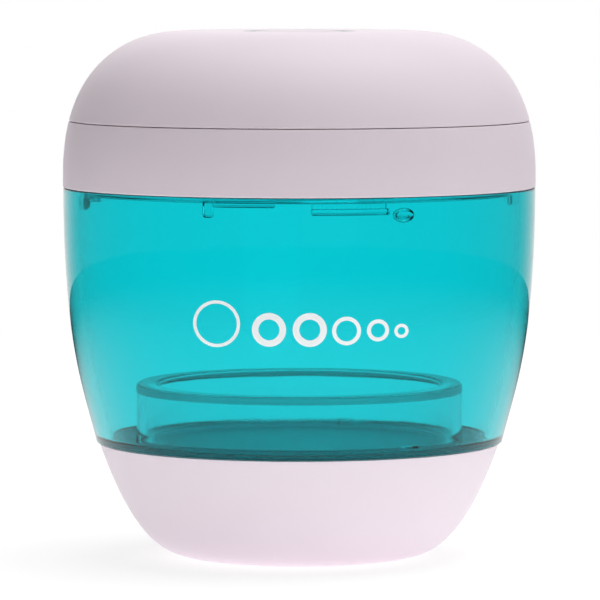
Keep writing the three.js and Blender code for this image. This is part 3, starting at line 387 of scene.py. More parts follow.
def spot(radius, degrees):
    """A place on a circle round the case: 0 degrees is the front, 90 the side at +X"""
    angle = math.radians(degrees)
    return Vector((radius * math.sin(angle), -radius * math.cos(angle), 0))


# Forms


def mesh_data(name, mesh):
    """The data of an object, made from a mesh that isn't needed any longer"""
    data = bpy.data.meshes.new(name)
    mesh.to_mesh(data)
    mesh.free()
    return data


def linked(name, data):
    thing = bpy.data.objects.new(name, data)
    bpy.context.scene.collection.objects.link(thing)
    return thing


def rounded(mesh, geom, width, segments, affect="VERTICES", clamp=False):
    bmesh.ops.bevel(
        mesh, geom=geom, offset=width, offset_type="OFFSET", segments=segments, profile=0.5,
        affect=affect, clamp_overlap=clamp, material=-1,
    )


def softened(mesh, width, degrees=40):
    """Rounds the edges that are sharper than an angle"""
    limit = math.radians(degrees)
    sharp = [edge for edge in mesh.edges if edge.is_manifold and edge.calc_face_angle(0) > limit]
    rounded(mesh, sharp, width, 2, "EDGES", clamp=True)
    return mesh


def spun(profile, steps=ROUND):
    """A closed profile of (radius, height, rounding) turned about Z"""
    mesh = bmesh.new()
    corners = [mesh.verts.new((corner[0], 0, corner[1])) for corner in profile]
    for before, after in zip(corners, corners[1:] + corners[:1]):
        mesh.edges.new((before, after))
    like = {}
    for vert, corner in zip(corners, profile):
        if len(corner) > 2 and corner[2] > 0:
            like.setdefault(corner[2], []).append(vert)
    for rounding in sorted(like):
        rounded(mesh, like[rounding], rounding, 4)
    whole = mesh.verts[:] + mesh.edges[:]
    bmesh.ops.spin(
        mesh, geom=whole, cent=(0, 0, 0), axis=(0, 0, 1), angle=math.tau, steps=steps, use_merge=True
    )
    bmesh.ops.remove_doubles(mesh, verts=mesh.verts, dist=WELD)
    bmesh.ops.recalc_face_normals(mesh, faces=mesh.faces)
    return mesh


def band(inner, outer, low, high, rounding, steps=ROUND):
    """A ring of rectangular section, with its corners rounded"""
    corners = ((inner, low), (outer, low), (outer, high), (inner, high))
    return spun([(*corner, rounding) for corner in corners], steps)


def placed(mesh, matrix):
    bmesh.ops.transform(mesh, matrix=matrix, verts=mesh.verts)
    return mesh


def sector(inner, outer, start, end, low, high, width, steps=16):
    """A curved block between two directions in degrees, with softened edges"""
    mesh = bmesh.new()
    turn = Matrix.Rotation(math.radians(start) - math.pi / 2, 4, "Z")
    places = ((inner, low), (outer, low), (outer, high), (inner, high))
    corners = [mesh.verts.new(turn @ Vector((radius, 0, height))) for radius, height in places]
    face = mesh.faces.new(corners)
    bmesh.ops.spin(
        mesh, geom=[face, *face.edges, *corners], cent=(0, 0, 0), axis=(0, 0, 1),
        angle=math.radians(end - start), steps=steps,
    )
    bmesh.ops.recalc_face_normals(mesh, faces=mesh.faces)
    return softened(mesh, width)


def bead(radii, radius, degrees, height):
    """A rounded bump, drawn out along the circle that it stands on"""
    mesh = bmesh.new()
    bmesh.ops.create_uvsphere(mesh, u_segments=40, v_segments=24, radius=1)
    place = Matrix.Translation((*spot(radius, degrees).xy, height))
    turn = Matrix.Rotation(math.radians(degrees), 4, "Z")
    return placed(mesh, place @ turn @ Matrix.Diagonal((*radii, 1)))


def rod(radius, low, high, place=Vector((0, 0, 0)), steps=FINE):
    mesh = bmesh.new()
    bmesh.ops.create_cone(
        mesh, cap_ends=True, cap_tris=False, segments=steps, radius1=radius, radius2=radius,
        depth=high - low, matrix=Matrix.Translation((place.x, place.y, (low + high) / 2)),
    )
    return mesh


def rods(radius, low, high, circle, steps=FINE):
    """Like rods on a circle, given by its radius and the directions on it"""
    pitch, directions = circle
    return [rod(radius, low, high, spot(pitch, direction), steps) for direction in directions]


def plate(width, height, corner, depth, matrix):
    """A rounded rectangle in its own X and Y, made solid along its own Z and then placed"""
    mesh = bmesh.new()
    made = bmesh.ops.create_grid(
        mesh, x_segments=1, y_segments=1, size=0.5, matrix=Matrix.Diagonal((width, height, 1, 1))
    )
    if corner > 0:
        rounded(mesh, made["verts"], corner, 6)
    raised = bmesh.ops.extrude_face_region(mesh, geom=mesh.faces[:])["geom"]
    raised = [each for each in raised if isinstance(each, bmesh.types.BMVert)]
    bmesh.ops.translate(mesh, verts=raised, vec=(0, 0, depth))
    bmesh.ops.recalc_face_normals(mesh, faces=mesh.faces)
    return placed(mesh, matrix)


def facing_back(x, near, z):
    """Places a plate's plane upright in X and Z, with its depth running back along +Y from near"""
    return Matrix.Translation((x, near, z)) @ Matrix.Rotation(-math.pi / 2, 4, "X")


def gathered(*meshes):
    """Several meshes as one, without joining their surfaces"""
    whole = meshes[0]
    for other in meshes[1:]:
        data = mesh_data("gathered", other)
        whole.from_mesh(data)
        bpy.data.meshes.remove(data)
    return whole


def combined(mesh, other, operation):
    """One mesh united with, cut by (DIFFERENCE) or kept inside (INTERSECT) another"""
    thing, tool = (linked("part", mesh_data("part", each)) for each in (mesh, other))
    modifier = thing.modifiers.new("combined", "BOOLEAN")
    modifier.operation = operation
    modifier.solver = "EXACT"
    modifier.object = tool
    result = bmesh.new()
    result.from_object(thing, bpy.context.evaluated_depsgraph_get())
    for each in (thing, tool):
        data = each.data
        bpy.data.objects.remove(each)
        bpy.data.meshes.remove(data)
    bmesh.ops.remove_doubles(result, verts=result.verts, dist=WELD)
    return result


def joined(mesh, *others):
    return combined(mesh, gathered(*others), "UNION")


def bored(mesh, *tools):
    return combined(mesh, gathered(*tools), "DIFFERENCE")


def finished(mesh, name, body, finish, nodes=()):
    """Makes a smooth-shaded piece that rides on a body and stands for CAD nodes"""
    crease = math.radians(35)
    for face in mesh.faces:
        face.smooth = True
    for edge in mesh.edges:
        edge.smooth = not (edge.is_manifold and edge.calc_face_angle(0) > crease)
    piece = linked(name, mesh_data(name, mesh))
    piece.data.materials.append(finish_of(finish))
    # large faces keep their own direction next to small roundings, so that clear walls don't bend the view
    even = piece.modifiers.new("even normals", "WEIGHTED_NORMAL")
    even.keep_sharp = True
    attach(piece, body)
    if nodes:
        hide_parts(*nodes)


def cad_copy(node, width):
    """A node's own solid, merged, with its flat faces made whole and its edges softened"""
    mesh = bmesh.new()
    mesh.from_mesh(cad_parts[node].data)
    bmesh.ops.remove_doubles(mesh, verts=mesh.verts, dist=CAD_WELD)
    bmesh.ops.dissolve_limit(
        mesh, angle_limit=math.radians(1), use_dissolve_boundaries=False, verts=mesh.verts, edges=mesh.edges
    )
    return softened(mesh, width)


def screw(head_radius, head_height, shank_radius, length, seat, place, upside_down):
    """A pan-head screw with a cross recess and a threaded shank, its head below its seat"""
    pitch, start, root = 0.9 * MM, 0.3 * MM, 0.8 * shank_radius
    depth = 0.45 * head_height
    turns = int((length - 1.2 * MM) / pitch)
    profile = [(0, -head_height), (head_radius, -head_height, depth), (head_radius, 0), (shank_radius, 0)]
    for turn in range(turns):
        height = start + turn * pitch
        profile += [(root, height), (shank_radius, height + pitch / 2)]
    profile += [(root, start + turns * pitch), (shank_radius / 3, length), (0, length)]
    body = spun(profile, BORE)
    low = Matrix.Translation((0, 0, -head_height - depth))
    wide, thin = 1.2 * head_radius, 0.3 * head_radius
    across, along = plate(wide, thin, 0, 2 * depth, low), plate(thin, wide, 0, 2 * depth, low)
    body = bored(body, joined(across, along))
    turned = Matrix.Rotation(math.pi if upside_down else 0, 4, "X")
    return placed(body, Matrix.Translation((place.x, place.y, seat)) @ turned)


def screws(name, node, body, circle, seat, sizes, upside_down=False):
    """Fits like screws on a circle, each for its numbered node. sizes are the head's radius and
    height and the shank's radius and length, in millimetres
    """
    pitch, directions = circle
    for index, direction in enumerate(directions, 1):
        made = screw(*(size * MM for size in sizes), seat, spot(pitch, direction), upside_down)
        finished(made, f"{name}_{index}", body, "zinc_plated_steel", [f"{node}_{index}"])


# Base

BASE_SCREWS = (10.5 * MM, (60, 180, 300))  # a circle's radius and the directions on it
BOWL_WALL = 2.4 * MM


def base_bowl():
    s = shape()
    top = s.base_height - s.seam_gap / 2
    profile = millimetres((0, 1.3), (15.2, 1.3), (15.2, 0.3, 0.15))
    profile += stretch(bowl_line(), UNDERSIDE, top, 30, last=s.edge_round)
    profile += stretch(bowl_line(BOWL_WALL), 2.8 * MM, top, 24, last=s.edge_round)[::-1]
    profile += millimetres((0, 2.8))
    bowl = spun(profile)
    pillars = rods(4 * MM, 2.2 * MM, 6.4 * MM, BASE_SCREWS)
    bowl = joined(bowl, *pillars)
    # counterbores for the heads, then bores for the shanks
    for radius, low, high in ((2.6 * MM, 0.5 * MM, 4.4 * MM), (1.45 * MM, 4 * MM, 7 * MM)):
        bowl = bored(bowl, *rods(radius, low, high, BASE_SCREWS))
    return bowl


def foot_pad():
    grooves = []
    for radius in (12, 9, 6):
        grooves += [(radius + 0.6, 0), (radius + 0.3, 0.25, 0.1), (radius, 0)]
    return spun(millimetres((0, 1.2), (15, 1.2, 0.15), (15, 0, 0.4), *grooves, (0, 0)))


class CASE_OT_base(bpy.types.Operator):
    """Makes the white bowl, its foot pad and the screws under it"""

    bl_idname = "case.base"
    bl_label = "Base"

    def execute(self, context):
        finished(base_bowl(), "base_bowl", "root", "satin_abs", ["base_shell"])
        finished(foot_pad(), "base_foot", "root", "matt_silicone", ["foot_pad"])
        screws("cup_screw", "base_screw", "root", BASE_SCREWS, 4.3 * MM, (2.2, 1.6, 1.25, 9))
        return {"FINISHED"}


# Chamber

BAYONET = (0, 120, 240)
CHAMBER_FLOOR = 18.6 * MM
FLOOR_FILLET, FILLET_STEPS = 2 * MM, 8
PLUG_BOTTOM = 16.6 * MM  # lowest face of the part of the cup that is sunk in the base


def mouth_radius():
    return radius_at(body_line(shape().cup_wall), shape().mouth_height - 0.15 * MM)


def spigot_outer():
    return mouth_radius() - 1.15 * MM


def clear_cup():
    s = shape()
    inner_line = body_line(s.cup_wall)
    low, rim = s.base_height + s.seam_gap / 2, s.mouth_height - s.seam_gap / 2
    plug = radius_at(bowl_line(BOWL_WALL), PLUG_BOTTOM) - 0.2 * MM
    bend = CHAMBER_FLOOR + FLOOR_FILLET
    centre = radius_at(inner_line, bend) - FLOOR_FILLET
    profile = [(0, PLUG_BOTTOM), (plug, PLUG_BOTTOM, 0.3 * MM), (plug, low)]
    profile += stretch(body_line(), low, rim, 56, first=0.1 * MM, last=0.15 * MM)
    profile += stretch(inner_line, bend, rim, 52, last=0.2 * MM)[::-1]
    for step in range(1, FILLET_STEPS + 1):
        angle = math.pi / 2 * step / FILLET_STEPS
        profile.append((centre + FLOOR_FILLET * math.cos(angle), bend - FLOOR_FILLET * math.sin(angle)))
    # the rib that the stand drops over
    profile += millimetres((24.35, 18.6, 0.25), (24.35, 19.6, 0.3), (23.35, 19.6, 0.3), (23.35, 18.6, 0.25))
    profile.append((0, CHAMBER_FLOOR))
    cup = spun(profile)
    outer = mouth_radius() + 0.6 * MM
    inner = spigot_outer() + 0.25 * MM
    extras = []
    for turn in BAYONET:
        # a lug, the lock stop at its far end and the end stop that the hook rests at when free
        extras.append(sector(inner, outer, turn - 22, turn - 6, 57.3 * MM, 58.3 * MM, 0.2 * MM))
        extras.append(sector(inner, outer, turn - 24.2, turn - 21.5, 55.7 * MM, 58.3 * MM, 0.5 * MM, 4))
        extras.append(bead(Vector((1.75, 1.1, 1.1)) * MM, outer - 0.7 * MM, turn + 26.3, 56.05 * MM))
    boss_radius = 2.9 * MM
    magnet = spot(mouth_radius() + 0.7 * MM - boss_radius, 182.2)
    extras.append(rod(boss_radius, 55 * MM, 57.4 * MM, magnet))
    extras += rods(3.2 * MM, 6.5 * MM, 17.2 * MM, BASE_SCREWS)
    for extra in extras:
        cup = joined(cup, extra)
    holes = rods(1.35 * MM, 5.4 * MM, 13.8 * MM, BASE_SCREWS, BORE)
    holes.append(rod(2.1 * MM, 55.6 * MM, 58.4 * MM, magnet))
    return bored(cup, *holes)


PRINTED_RINGS = (
    # middle across and up, radius and width of the line, in millimetres
    (-12.6, 39.6, 3.6, 0.5), (-4.6, 38.8, 2.6, 1.0), (1.6, 38.8, 2.6, 1.0), (7.2, 38.6, 2.2, 0.6),
    (12.0, 38.6, 1.7, 0.6), (15.6, 38.4, 1.1, 0.5),
)


def printed_rings():
    """A row of plain rings in white ink, laid on the front of the cup"""
    line = body_line()
    rings = []
    upright = Matrix.Rotation(math.pi / 2, 4, "X")
    for x, height, radius, width in PRINTED_RINGS:
        inner = radius - width
        ring = spun(millimetres((inner, -0.03), (radius, -0.03), (radius, 0.03), (inner, 0.03)), FINE)
        long = [edge for edge in ring.edges if edge.calc_length() > 0.4 * MM]
        bmesh.ops.subdivide_edges(ring, edges=long, cuts=1)
        placed(ring, Matrix.Translation((x * MM, 0, height * MM)) @ upright)
        for vert in ring.verts:
            surface = radius_at(line, vert.co.z) + 0.02 * MM
            vert.co.y -= math.sqrt(surface ** 2 - vert.co.x ** 2)
        rings.append(ring)
    return gathered(*rings)


def stand_ring():
    outer = radius_at(body_line(shape().cup_wall), CHAMBER_FLOOR + FLOOR_FILLET) - 4.4 * MM
    inner, lip = outer - 1.4 * MM, outer - 3.4 * MM
    low, top = 18.7 * MM, 27.8 * MM
    under = top - 1.1 * MM
    r, rim_r = 0.3 * MM, 0.52 * MM
    stand = spun([
        (inner, low, r), (outer, low, r), (outer, top, 1.6 * r), (lip, top, rim_r), (lip, under, rim_r),
        (inner, under, r),
    ])
    notches = []
    for direction in (41, 161, 281):
        turn = Matrix.Rotation(math.radians(direction), 4, "Z")
        place = turn @ facing_back(0, -outer - 1 * MM, low)
        notches.append(plate(3 * MM, 2.4 * MM, 0.5 * MM, 4 * MM, place))
    return bored(stand, *notches)


class CASE_OT_cup(bpy.types.Operator):
    """Makes the clear cup with its bayonet lugs, its printed rings and the magnet behind its mouth"""

    bl_idname = "case.cup"
    bl_label = "Cup"

    def execute(self, context):
        finished(clear_cup(), "clear_cup", "root", "teal_polycarbonate", ["chamber_cup"])
        finished(printed_rings(), "printed_rings", "root", "white_pad_ink")
        magnet = cad_copy("sensor_magnet", 0.15 * MM)
        finished(magnet, "cup_magnet", "root", "nickel_plate", ["sensor_magnet"])
        return {"FINISHED"}


class CASE_OT_stand(bpy.types.Operator):
    """Makes the clear stand on the chamber's floor"""

    bl_idname = "case.stand"
    bl_label = "Stand"

    def execute(self, context):
        finished(stand_ring(), "clear_stand", "root", "tinted_polycarbonate", ["stand_ring"])
        return {"FINISHED"}


# Lid

DECK_BOTTOM, DECK_TOP = 64.9 * MM, 67.3 * MM
LAMP_SCREWS = (17 * MM, (90, 270))
PORT_HEIGHT = 75.2 * MM  # middle of the charging socket
TAIL_HEIGHT = 71.2 * MM  # middle of the flap's fixed root
SPIGOT_WALL = 1.5 * MM


def lid_screws():
    return (spigot_outer() - 4.8 * MM, (60, 120, 240, 300))


def board_posts():
    return (lid_screws()[0] - 8.1 * MM, (0, 146, 214))


def lid_ring():
    s = shape()
    outside = body_line()
    bottom, top = s.mouth_height + s.seam_gap / 2, s.cap_seam_height - s.seam_gap / 2
    groove_outer = radius_at(outside, s.mouth_height) - 0.66 * MM
    groove_inner = groove_outer - 1.4 * MM
    ceiling = s.mouth_height + 1.25 * MM
    skin = radius_at(outside, s.cap_seam_height) - 1.3 * MM
    trough, floor = skin - 1.5 * MM, s.mouth_height + 2.05 * MM
    upstand_top = s.cap_seam_height + 1.1 * MM
    upstand = radius_at(crown_line(s.lid_wall), upstand_top) - 0.2 * MM
    upstand_inner = upstand - 1.2 * MM
    outer = spigot_outer()
    inner = outer - SPIGOT_WALL
    low = s.mouth_height - 0.05 * MM
    seat, collar = 65.7 * MM, 68.7 * MM
    collar_outer, collar_inner, opening = 16.8 * MM, 14.8 * MM, 12.5 * MM
    r = 0.2 * MM
    profile = [(groove_outer, bottom, 0.1 * MM)]
    profile += stretch(outside, bottom, top, 20, first=s.edge_round, last=s.edge_round)
    profile += [
        (skin, top, r), (skin, floor, r), (trough, floor, r), (trough, DECK_TOP), (upstand, DECK_TOP),
        (upstand, upstand_top, r), (upstand_inner, upstand_top, r), (upstand_inner, DECK_TOP, r),
        (collar_outer, DECK_TOP, r), (collar_outer, collar, r), (collar_inner, collar, r),
        (collar_inner, seat), (opening, seat, r), (opening, DECK_BOTTOM, r),
        (inner, DECK_BOTTOM, 0.4 * MM), (inner, low), (outer, low), (outer, bottom),
        (groove_inner, bottom, 0.1 * MM), (groove_inner, ceiling), (groove_outer, ceiling),
    ]
    ring = spun(profile)
    bosses = rods(2.2 * MM, DECK_TOP - 0.6 * MM, collar, LAMP_SCREWS)
    bosses += rods(3 * MM, DECK_TOP - 0.6 * MM, 68.5 * MM, lid_screws())
    ring = joined(ring, *bosses)
    holes = rods(0.9 * MM, 65.8 * MM, 69.7 * MM, LAMP_SCREWS, BORE)
    holes += rods(2.4 * MM, 63 * MM, 66.7 * MM, lid_screws())
    ring = bored(ring, *holes)
    holes = rods(1.45 * MM, 66 * MM, 70 * MM, lid_screws(), BORE)
    # the sensor's ribbon comes through here
    place = Matrix.Translation((-1.3 * MM, upstand - 0.6 * MM, DECK_TOP))
    notch = plate(3.4 * MM, 3 * MM, 0.3 * MM, 6 * MM, place)
    return bored(ring, *holes, notch)


def hook_collar():
    """The clear end of the spigot, with three hooks that pass below the lugs of the cup"""
    outer = spigot_outer()
    inner, top = outer - SPIGOT_WALL, shape().mouth_height - 0.07 * MM
    near, low, root = inner + 0.15 * MM, 56.1 * MM, top - 0.9 * MM
    ridge = root + 0.62 * MM
    r = 0.12 * MM
    collar = spun([
        (inner, top), (inner, ridge), (inner - 0.4 * MM, ridge - 0.25 * MM, r), (inner, ridge - 0.5 * MM),
        (inner, root, r), (outer, root, r), (outer, top),
    ])
    stem_span = (near + 0.05 * MM, outer - 0.15 * MM)
    for turn in BAYONET:
        stem = sector(*stem_span, turn + 3.2, turn + 22.8, low + 0.45 * MM, root + 0.3 * MM, 0.1 * MM)
        foot = sector(near, outer + 0.9 * MM, turn + 3, turn + 23, low, low + 1 * MM, 0.25 * MM)
        collar = joined(collar, joined(stem, foot))
    return collar


def boss_room(inset):
    """Everything inside the cap's outer face, drawn in by an inset"""
    s = shape()
    low, ceiling = s.mouth_height + 4 * MM, s.crown_height - inset
    return spun([(0, low)] + stretch(crown_line(inset), low, ceiling - 1e-6, 40) + [(0, ceiling)])


def flap_outline(spare):
    width, height, corner = 14 * MM + 2 * spare, 6.4 * MM + 2 * spare, 1.4 * MM + spare
    return plate(width, height, corner, 60 * MM, facing_back(0, 0, PORT_HEIGHT))


def root_outline(spare):
    width, height = 8 * MM + 2 * spare, 1.2 * MM + 2 * spare
    return plate(width, height, 0.3 * MM + spare, 60 * MM, facing_back(0, 0, TAIL_HEIGHT))


def cap_layer(outset, inset):
    """The layer of the cap between two depths, over the heights of the charging port"""
    low, high = 67 * MM, 82 * MM
    outer, inner = crown_line(-outset), crown_line(inset)
    return spun(stretch(outer, low, high, 24) + stretch(inner, low, high - 2 * MM, 24)[::-1])


def lid_cap():
    s = shape()
    low = s.cap_seam_height + s.seam_gap / 2
    ceiling = s.crown_height - s.lid_wall
    hole = s.button_radius + 2.05 * MM
    inside = crown_line(s.lid_wall)
    profile = [(radius_at(inside, low), low, 0.2 * MM)]
    profile += stretch(crown_line(), low, s.crown_height, 56, first=s.edge_round)
    profile += [(hole, s.crown_height, 0.15 * MM), (hole, ceiling, 0.1 * MM)]
    profile += stretch(inside, low, ceiling - 1e-6, 40)[::-1][:-1]
    cap = spun(profile)
    bosses = rods(3 * MM, 68.6 * MM, s.crown_height, lid_screws())
    bosses += rods(2.2 * MM, 78 * MM, s.crown_height, board_posts())
    bosses = combined(gathered(*bosses), boss_room(s.lid_wall / 2), "INTERSECT")
    cap = joined(cap, bosses)
    holes = rods(1.35 * MM, 67.5 * MM, 75.1 * MM, lid_screws(), BORE)
    holes += rods(1.05 * MM, 77 * MM, 80.6 * MM, board_posts(), BORE)
    cap = bored(cap, *holes)
    for outline in (flap_outline, root_outline):
        cap = bored(cap, combined(outline(0.2 * MM), cap_layer(1 * MM, 1.3 * MM), "INTERSECT"))
    port = plate(9.54 * MM, 3.8 * MM, 1.55 * MM, 12 * MM, facing_back(0, 26 * MM, PORT_HEIGHT))
    stud = plate(4.4 * MM, 1.4 * MM, 0.35 * MM, 12 * MM, facing_back(0, 26 * MM, TAIL_HEIGHT))
    return bored(cap, port, stud)


def socket_room(near, depth):
    """The opening of the charging socket, which the flap's nose fills too"""
    return plate(8.34 * MM, 2.6 * MM, 0.95 * MM, depth, facing_back(0, near, PORT_HEIGHT))


def port_flap():
    flap = combined(flap_outline(0), cap_layer(0, 1.1 * MM), "INTERSECT")
    softened(flap, 0.18 * MM, degrees=50)
    nose = socket_room(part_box("usb_socket")[1].y + 0.2 * MM, 5 * MM)
    nose = combined(nose, boss_room(0.6 * MM), "INTERSECT")
    return joined(flap, nose)


def flap_root():
    root = combined(root_outline(0), cap_layer(0, 1.1 * MM), "INTERSECT")
    softened(root, 0.12 * MM, degrees=50)
    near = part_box("plug_anchor")[0].y
    stud = plate(4 * MM, 1 * MM, 0.25 * MM, 3 * MM, facing_back(0, near, TAIL_HEIGHT))
    return joined(root, stud)


class CASE_OT_lid(bpy.types.Operator):
    """Makes the lid's ring and cap, the seal between lid and cup, and the screws that join them"""

    bl_idname = "case.lid"
    bl_label = "Lid"

    def execute(self, context):
        finished(lid_ring(), "lid_skirt", "lid", "satin_abs", ["lid_ring"])
        finished(hook_collar(), "hook_collar", "lid", "clear_polycarbonate", ())
        finished(lid_cap(), "lid_dome", "lid", "satin_abs", ["lid_cap"])
        low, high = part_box("lid_seal")
        ring = band(high.x - 1 * MM, high.x, low.z, high.z, 0.25 * MM)
        finished(ring, "mouth_gasket", "seal", "matt_silicone", ["lid_seal"])
        screws("cap_screw", "lid_screw", "lid", lid_screws(), 66.6 * MM, (2.2, 1.6, 1.25, 8))
        return {"FINISHED"}


class CASE_OT_port(bpy.types.Operator):
    """Makes the charging socket, the soft flap over it and the flap's fixed root"""

    bl_idname = "case.port"
    bl_label = "Charging Port"

    def execute(self, context):
        finished(port_flap(), "port_flap", "plug", "matt_silicone", ["port_plug"])
        finished(flap_root(), "flap_root", "lid", "matt_silicone", ["plug_anchor"])
        low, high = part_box("usb_socket")
        depth = high.y - low.y
        shell = plate(8.94 * MM, 3.2 * MM, 1.25 * MM, depth, facing_back(0, low.y, PORT_HEIGHT))
        shell = bored(shell, socket_room(low.y + 1.2 * MM, depth))
        softened(shell, 0.06 * MM, degrees=50)
        finished(shell, "socket_shell", "lid", "drawn_steel", ["usb_socket"])
        place = facing_back(0, low.y + 0.6 * MM, PORT_HEIGHT)
        tongue = softened(plate(6.7 * MM, 0.7 * MM, 0.15 * MM, depth - 1.6 * MM, place), 0.06 * MM)
        finished(tongue, "socket_tongue", "lid", "epoxy_resin", ())
        contacts = []
        for index in range(12):
            x = (index - 5.5) * 0.5 * MM
            for side in (-1, 1):
                place = facing_back(x, high.y - 4.6 * MM, PORT_HEIGHT + side * 0.36 * MM)
                contacts.append(plate(0.25 * MM, 0.06 * MM, 0, 3.2 * MM, place))
        finished(gathered(*contacts), "socket_contacts", "lid", "gold_flash")
        return {"FINISHED"}


class CASE_OT_button(bpy.types.Operator):
    """Makes the power button with its mark, and the light guide round it"""

    bl_idname = "case.button"
    bl_label = "Button"

    def execute(self, context):
        s = shape()
        top, radius, under = s.crown_height, s.button_radius, s.crown_height - 2.8 * MM
        skirt, flange, r = radius - 1.2 * MM, radius + 1.05 * MM, 0.1 * MM
        ceiling, foot, ledge = top - 1.4 * MM, top - 3.6 * MM, top - 3 * MM
        dish = ((6.1, -0.04), (5.0, -0.16), (3.6, -0.25), (2.0, -0.3))
        profile = [
            (0, under), (1.6 * MM, under, 0.2 * MM), (1.6 * MM, ceiling), (skirt, ceiling), (skirt, foot),
            (flange, foot, r), (flange, ledge, r), (radius, ledge), (radius, top, 0.35 * MM),
        ]
        profile += [(out * MM, top + down * MM) for out, down in dish] + [(0, top - 0.3 * MM)]
        button = spun(profile, DISC)
        finished(button, "push_button", "button", "satin_abs", ["power_button"])
        mark = top - 0.35 * MM
        arc = sector(1.75 * MM, 2.25 * MM, 212, 508, mark, top - 0.2 * MM, 0.04 * MM, 48)
        bar = plate(0.5 * MM, 1.7 * MM, 0.2 * MM, 0.15 * MM, Matrix.Translation((0, 2 * MM, mark)))
        finished(gathered(arc, bar), "button_mark", "button", "grey_pad_ink")
        inner, outer = radius + 0.25 * MM, radius + 1.85 * MM
        flange, over = outer + 1.3 * MM, under + 0.7 * MM
        guide = spun([
            (inner, under), (flange, under, r), (flange, over, r), (outer, over), (outer, top, 0.2 * MM),
            (inner, top, 0.2 * MM),
        ], DISC)
        finished(guide, "light_guide", "lid", "frosted_polycarbonate", ["indicator_ring"])
        return {"FINISHED"}


# Lamp


def lamp_dish():
    sheet, opening = 0.6 * MM, 13 * MM
    top = DECK_BOTTOM - 0.1 * MM
    rim_low = shape().mouth_height - 0.2 * MM

    def line(lift):
        start = Vector((17 * MM, top - sheet + lift))
        rim = Vector((spigot_outer() - SPIGOT_WALL - 0.2 * MM - sheet + lift, rim_low))
        run, drop = rim.x - start.x, start.y - rim.y
        pull = Vector((start.x + 0.75 * run, start.y - 0.2 * drop + lift / 2))
        handles = (start + (pull - start) * 2 / 3, rim + (pull - rim) * 2 / 3)
        return [(point.x, point.y) for point in interpolate_bezier(start, *handles, rim, 28)]

    lower = [(opening, top - sheet, 0.2 * MM)] + line(0)
    return spun(lower + line(sheet)[::-1] + [(opening, top, 0.2 * MM)])


class CASE_OT_lamp(bpy.types.Operator):
    """Makes the reflector, the window with its seal, and the board with four ultraviolet diodes"""

    bl_idname = "case.lamp"
    bl_label = "Lamp"

    def execute(self, context):
        finished(lamp_dish(), "reflector", "lid", "spun_aluminium", ["reflector_dish"])
        low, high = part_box("quartz_window")
        r = 0.2 * MM
        pane = spun([(0, low.z), (high.x, low.z, r), (high.x, high.z, r), (0, high.z)], DISC)
        finished(pane, "lamp_window", "lid", "fused_quartz", ["quartz_window"])
        low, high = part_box("window_seal")
        ring = band(high.x - 1.4 * MM, high.x, low.z, high.z, r, DISC)
        finished(ring, "window_gasket", "lid", "matt_silicone", ["window_seal"])
        low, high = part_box("led_board")
        board = rod(19.5 * MM, low.z, high.z, steps=128)
        holes = rods(1 * MM, low.z - 1 * MM, high.z + 1 * MM, LAMP_SCREWS, BORE)
        board = softened(bored(board, *holes), 0.1 * MM)
        finished(board, "lamp_board", "lid", "white_solder_mask", ["led_board"])
        for index in (1, 2, 3, 4):
            low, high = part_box(f"uv_led_{index}")
            middle = (low + high) / 2
            case = plate(3.5 * MM, 3.5 * MM, 0.15 * MM, 0.6 * MM, Matrix.Translation(middle))
            softened(case, 0.06 * MM)
            finished(case, f"diode_{index}", "lid", "alumina_ceramic", [f"uv_led_{index}"])
            rim = spun(millimetres((1.2, 0.25), (1.62, 0.25, 0.1), (1.62, 0.65), (1.2, 0.65)), SMALL)
            placed(rim, Matrix.Translation((middle.x, middle.y, low.z - 0.05 * MM)))
            finished(rim, f"diode_rim_{index}", "lid", "gold_flash")
            lens = spun(millimetres((0, 0), (0.8, 0.06), (1.18, 0.25, 0.05), (1.18, 0.6), (0, 0.6)), SMALL)
            placed(lens, Matrix.Translation((middle.x, middle.y, low.z)))
            finished(lens, f"diode_lens_{index}", "lid", "fused_quartz")
        sizes = (1.7, 1.1, 0.8, 4.2)
        screws("lamp_screw", "led_board_screw", "lid", LAMP_SCREWS, 70.5 * MM, sizes, upside_down=True)
        return {"FINISHED"}


# Electronics

INNER_PIECES = (
    # piece, node, finish, slot, softening in millimetres
    ("battery_tray", "battery_cradle", "natural_abs", "tray_plastic", 0.12),
    ("battery", "battery_cell", "shrink_sleeve", "battery_pouch", 0.5),
    ("battery_foam", "battery_pad", "open_cell_foam", "foam", 0.15),
    ("control_board", "main_board", "green_solder_mask", "circuit_board", 0.05),
    ("charge_controller", "charge_chip", "epoxy_resin", "chip_resin", 0.12),
    ("processor", "control_chip", "epoxy_resin", "chip_resin", 0.1),
    ("inductor", "boost_inductor", "pressed_ferrite", "ferrite", 0.3),
    ("button_switch", "power_switch", "epoxy_resin", "chip_resin", 0.12),
    ("lid_sensor", "hall_sensor", "epoxy_resin", "chip_resin", 0.06),
    ("sensor_ribbon", "sensor_flex", "polyimide_film", "flex_film", 0.02),
    *((f"status_light_{index}", f"status_led_{index}", "clear_polycarbonate", "clear_plastic", 0.1)
      for index in (1, 2, 3)),
)
LEAD_RADIUS = 0.5 * MM


def lead(points):
    """A round wire along a smooth curve through the points"""
    curve = bpy.data.curves.new("lead", "CURVE")
    curve.dimensions = "3D"
    curve.bevel_depth = LEAD_RADIUS
    curve.bevel_resolution = 4
    curve.use_fill_caps = True
    spline = curve.splines.new("NURBS")
    spline.points.add(len(points) - 1)
    for target, point in zip(spline.points, points):
        target.co = (*point, 1)
    spline.use_endpoint_u = True
    spline.order_u = 4
    thing = linked("lead", curve)
    mesh = bmesh.new()
    data = bpy.data.meshes.new_from_object(thing.evaluated_get(bpy.context.evaluated_depsgraph_get()))
    mesh.from_mesh(data)
    bpy.data.objects.remove(thing)
    bpy.data.curves.remove(curve)
    bpy.data.meshes.remove(data)
    bmesh.ops.remove_doubles(mesh, verts=mesh.verts, dist=WELD)
    bmesh.ops.recalc_face_normals(mesh, faces=mesh.faces)
    return mesh


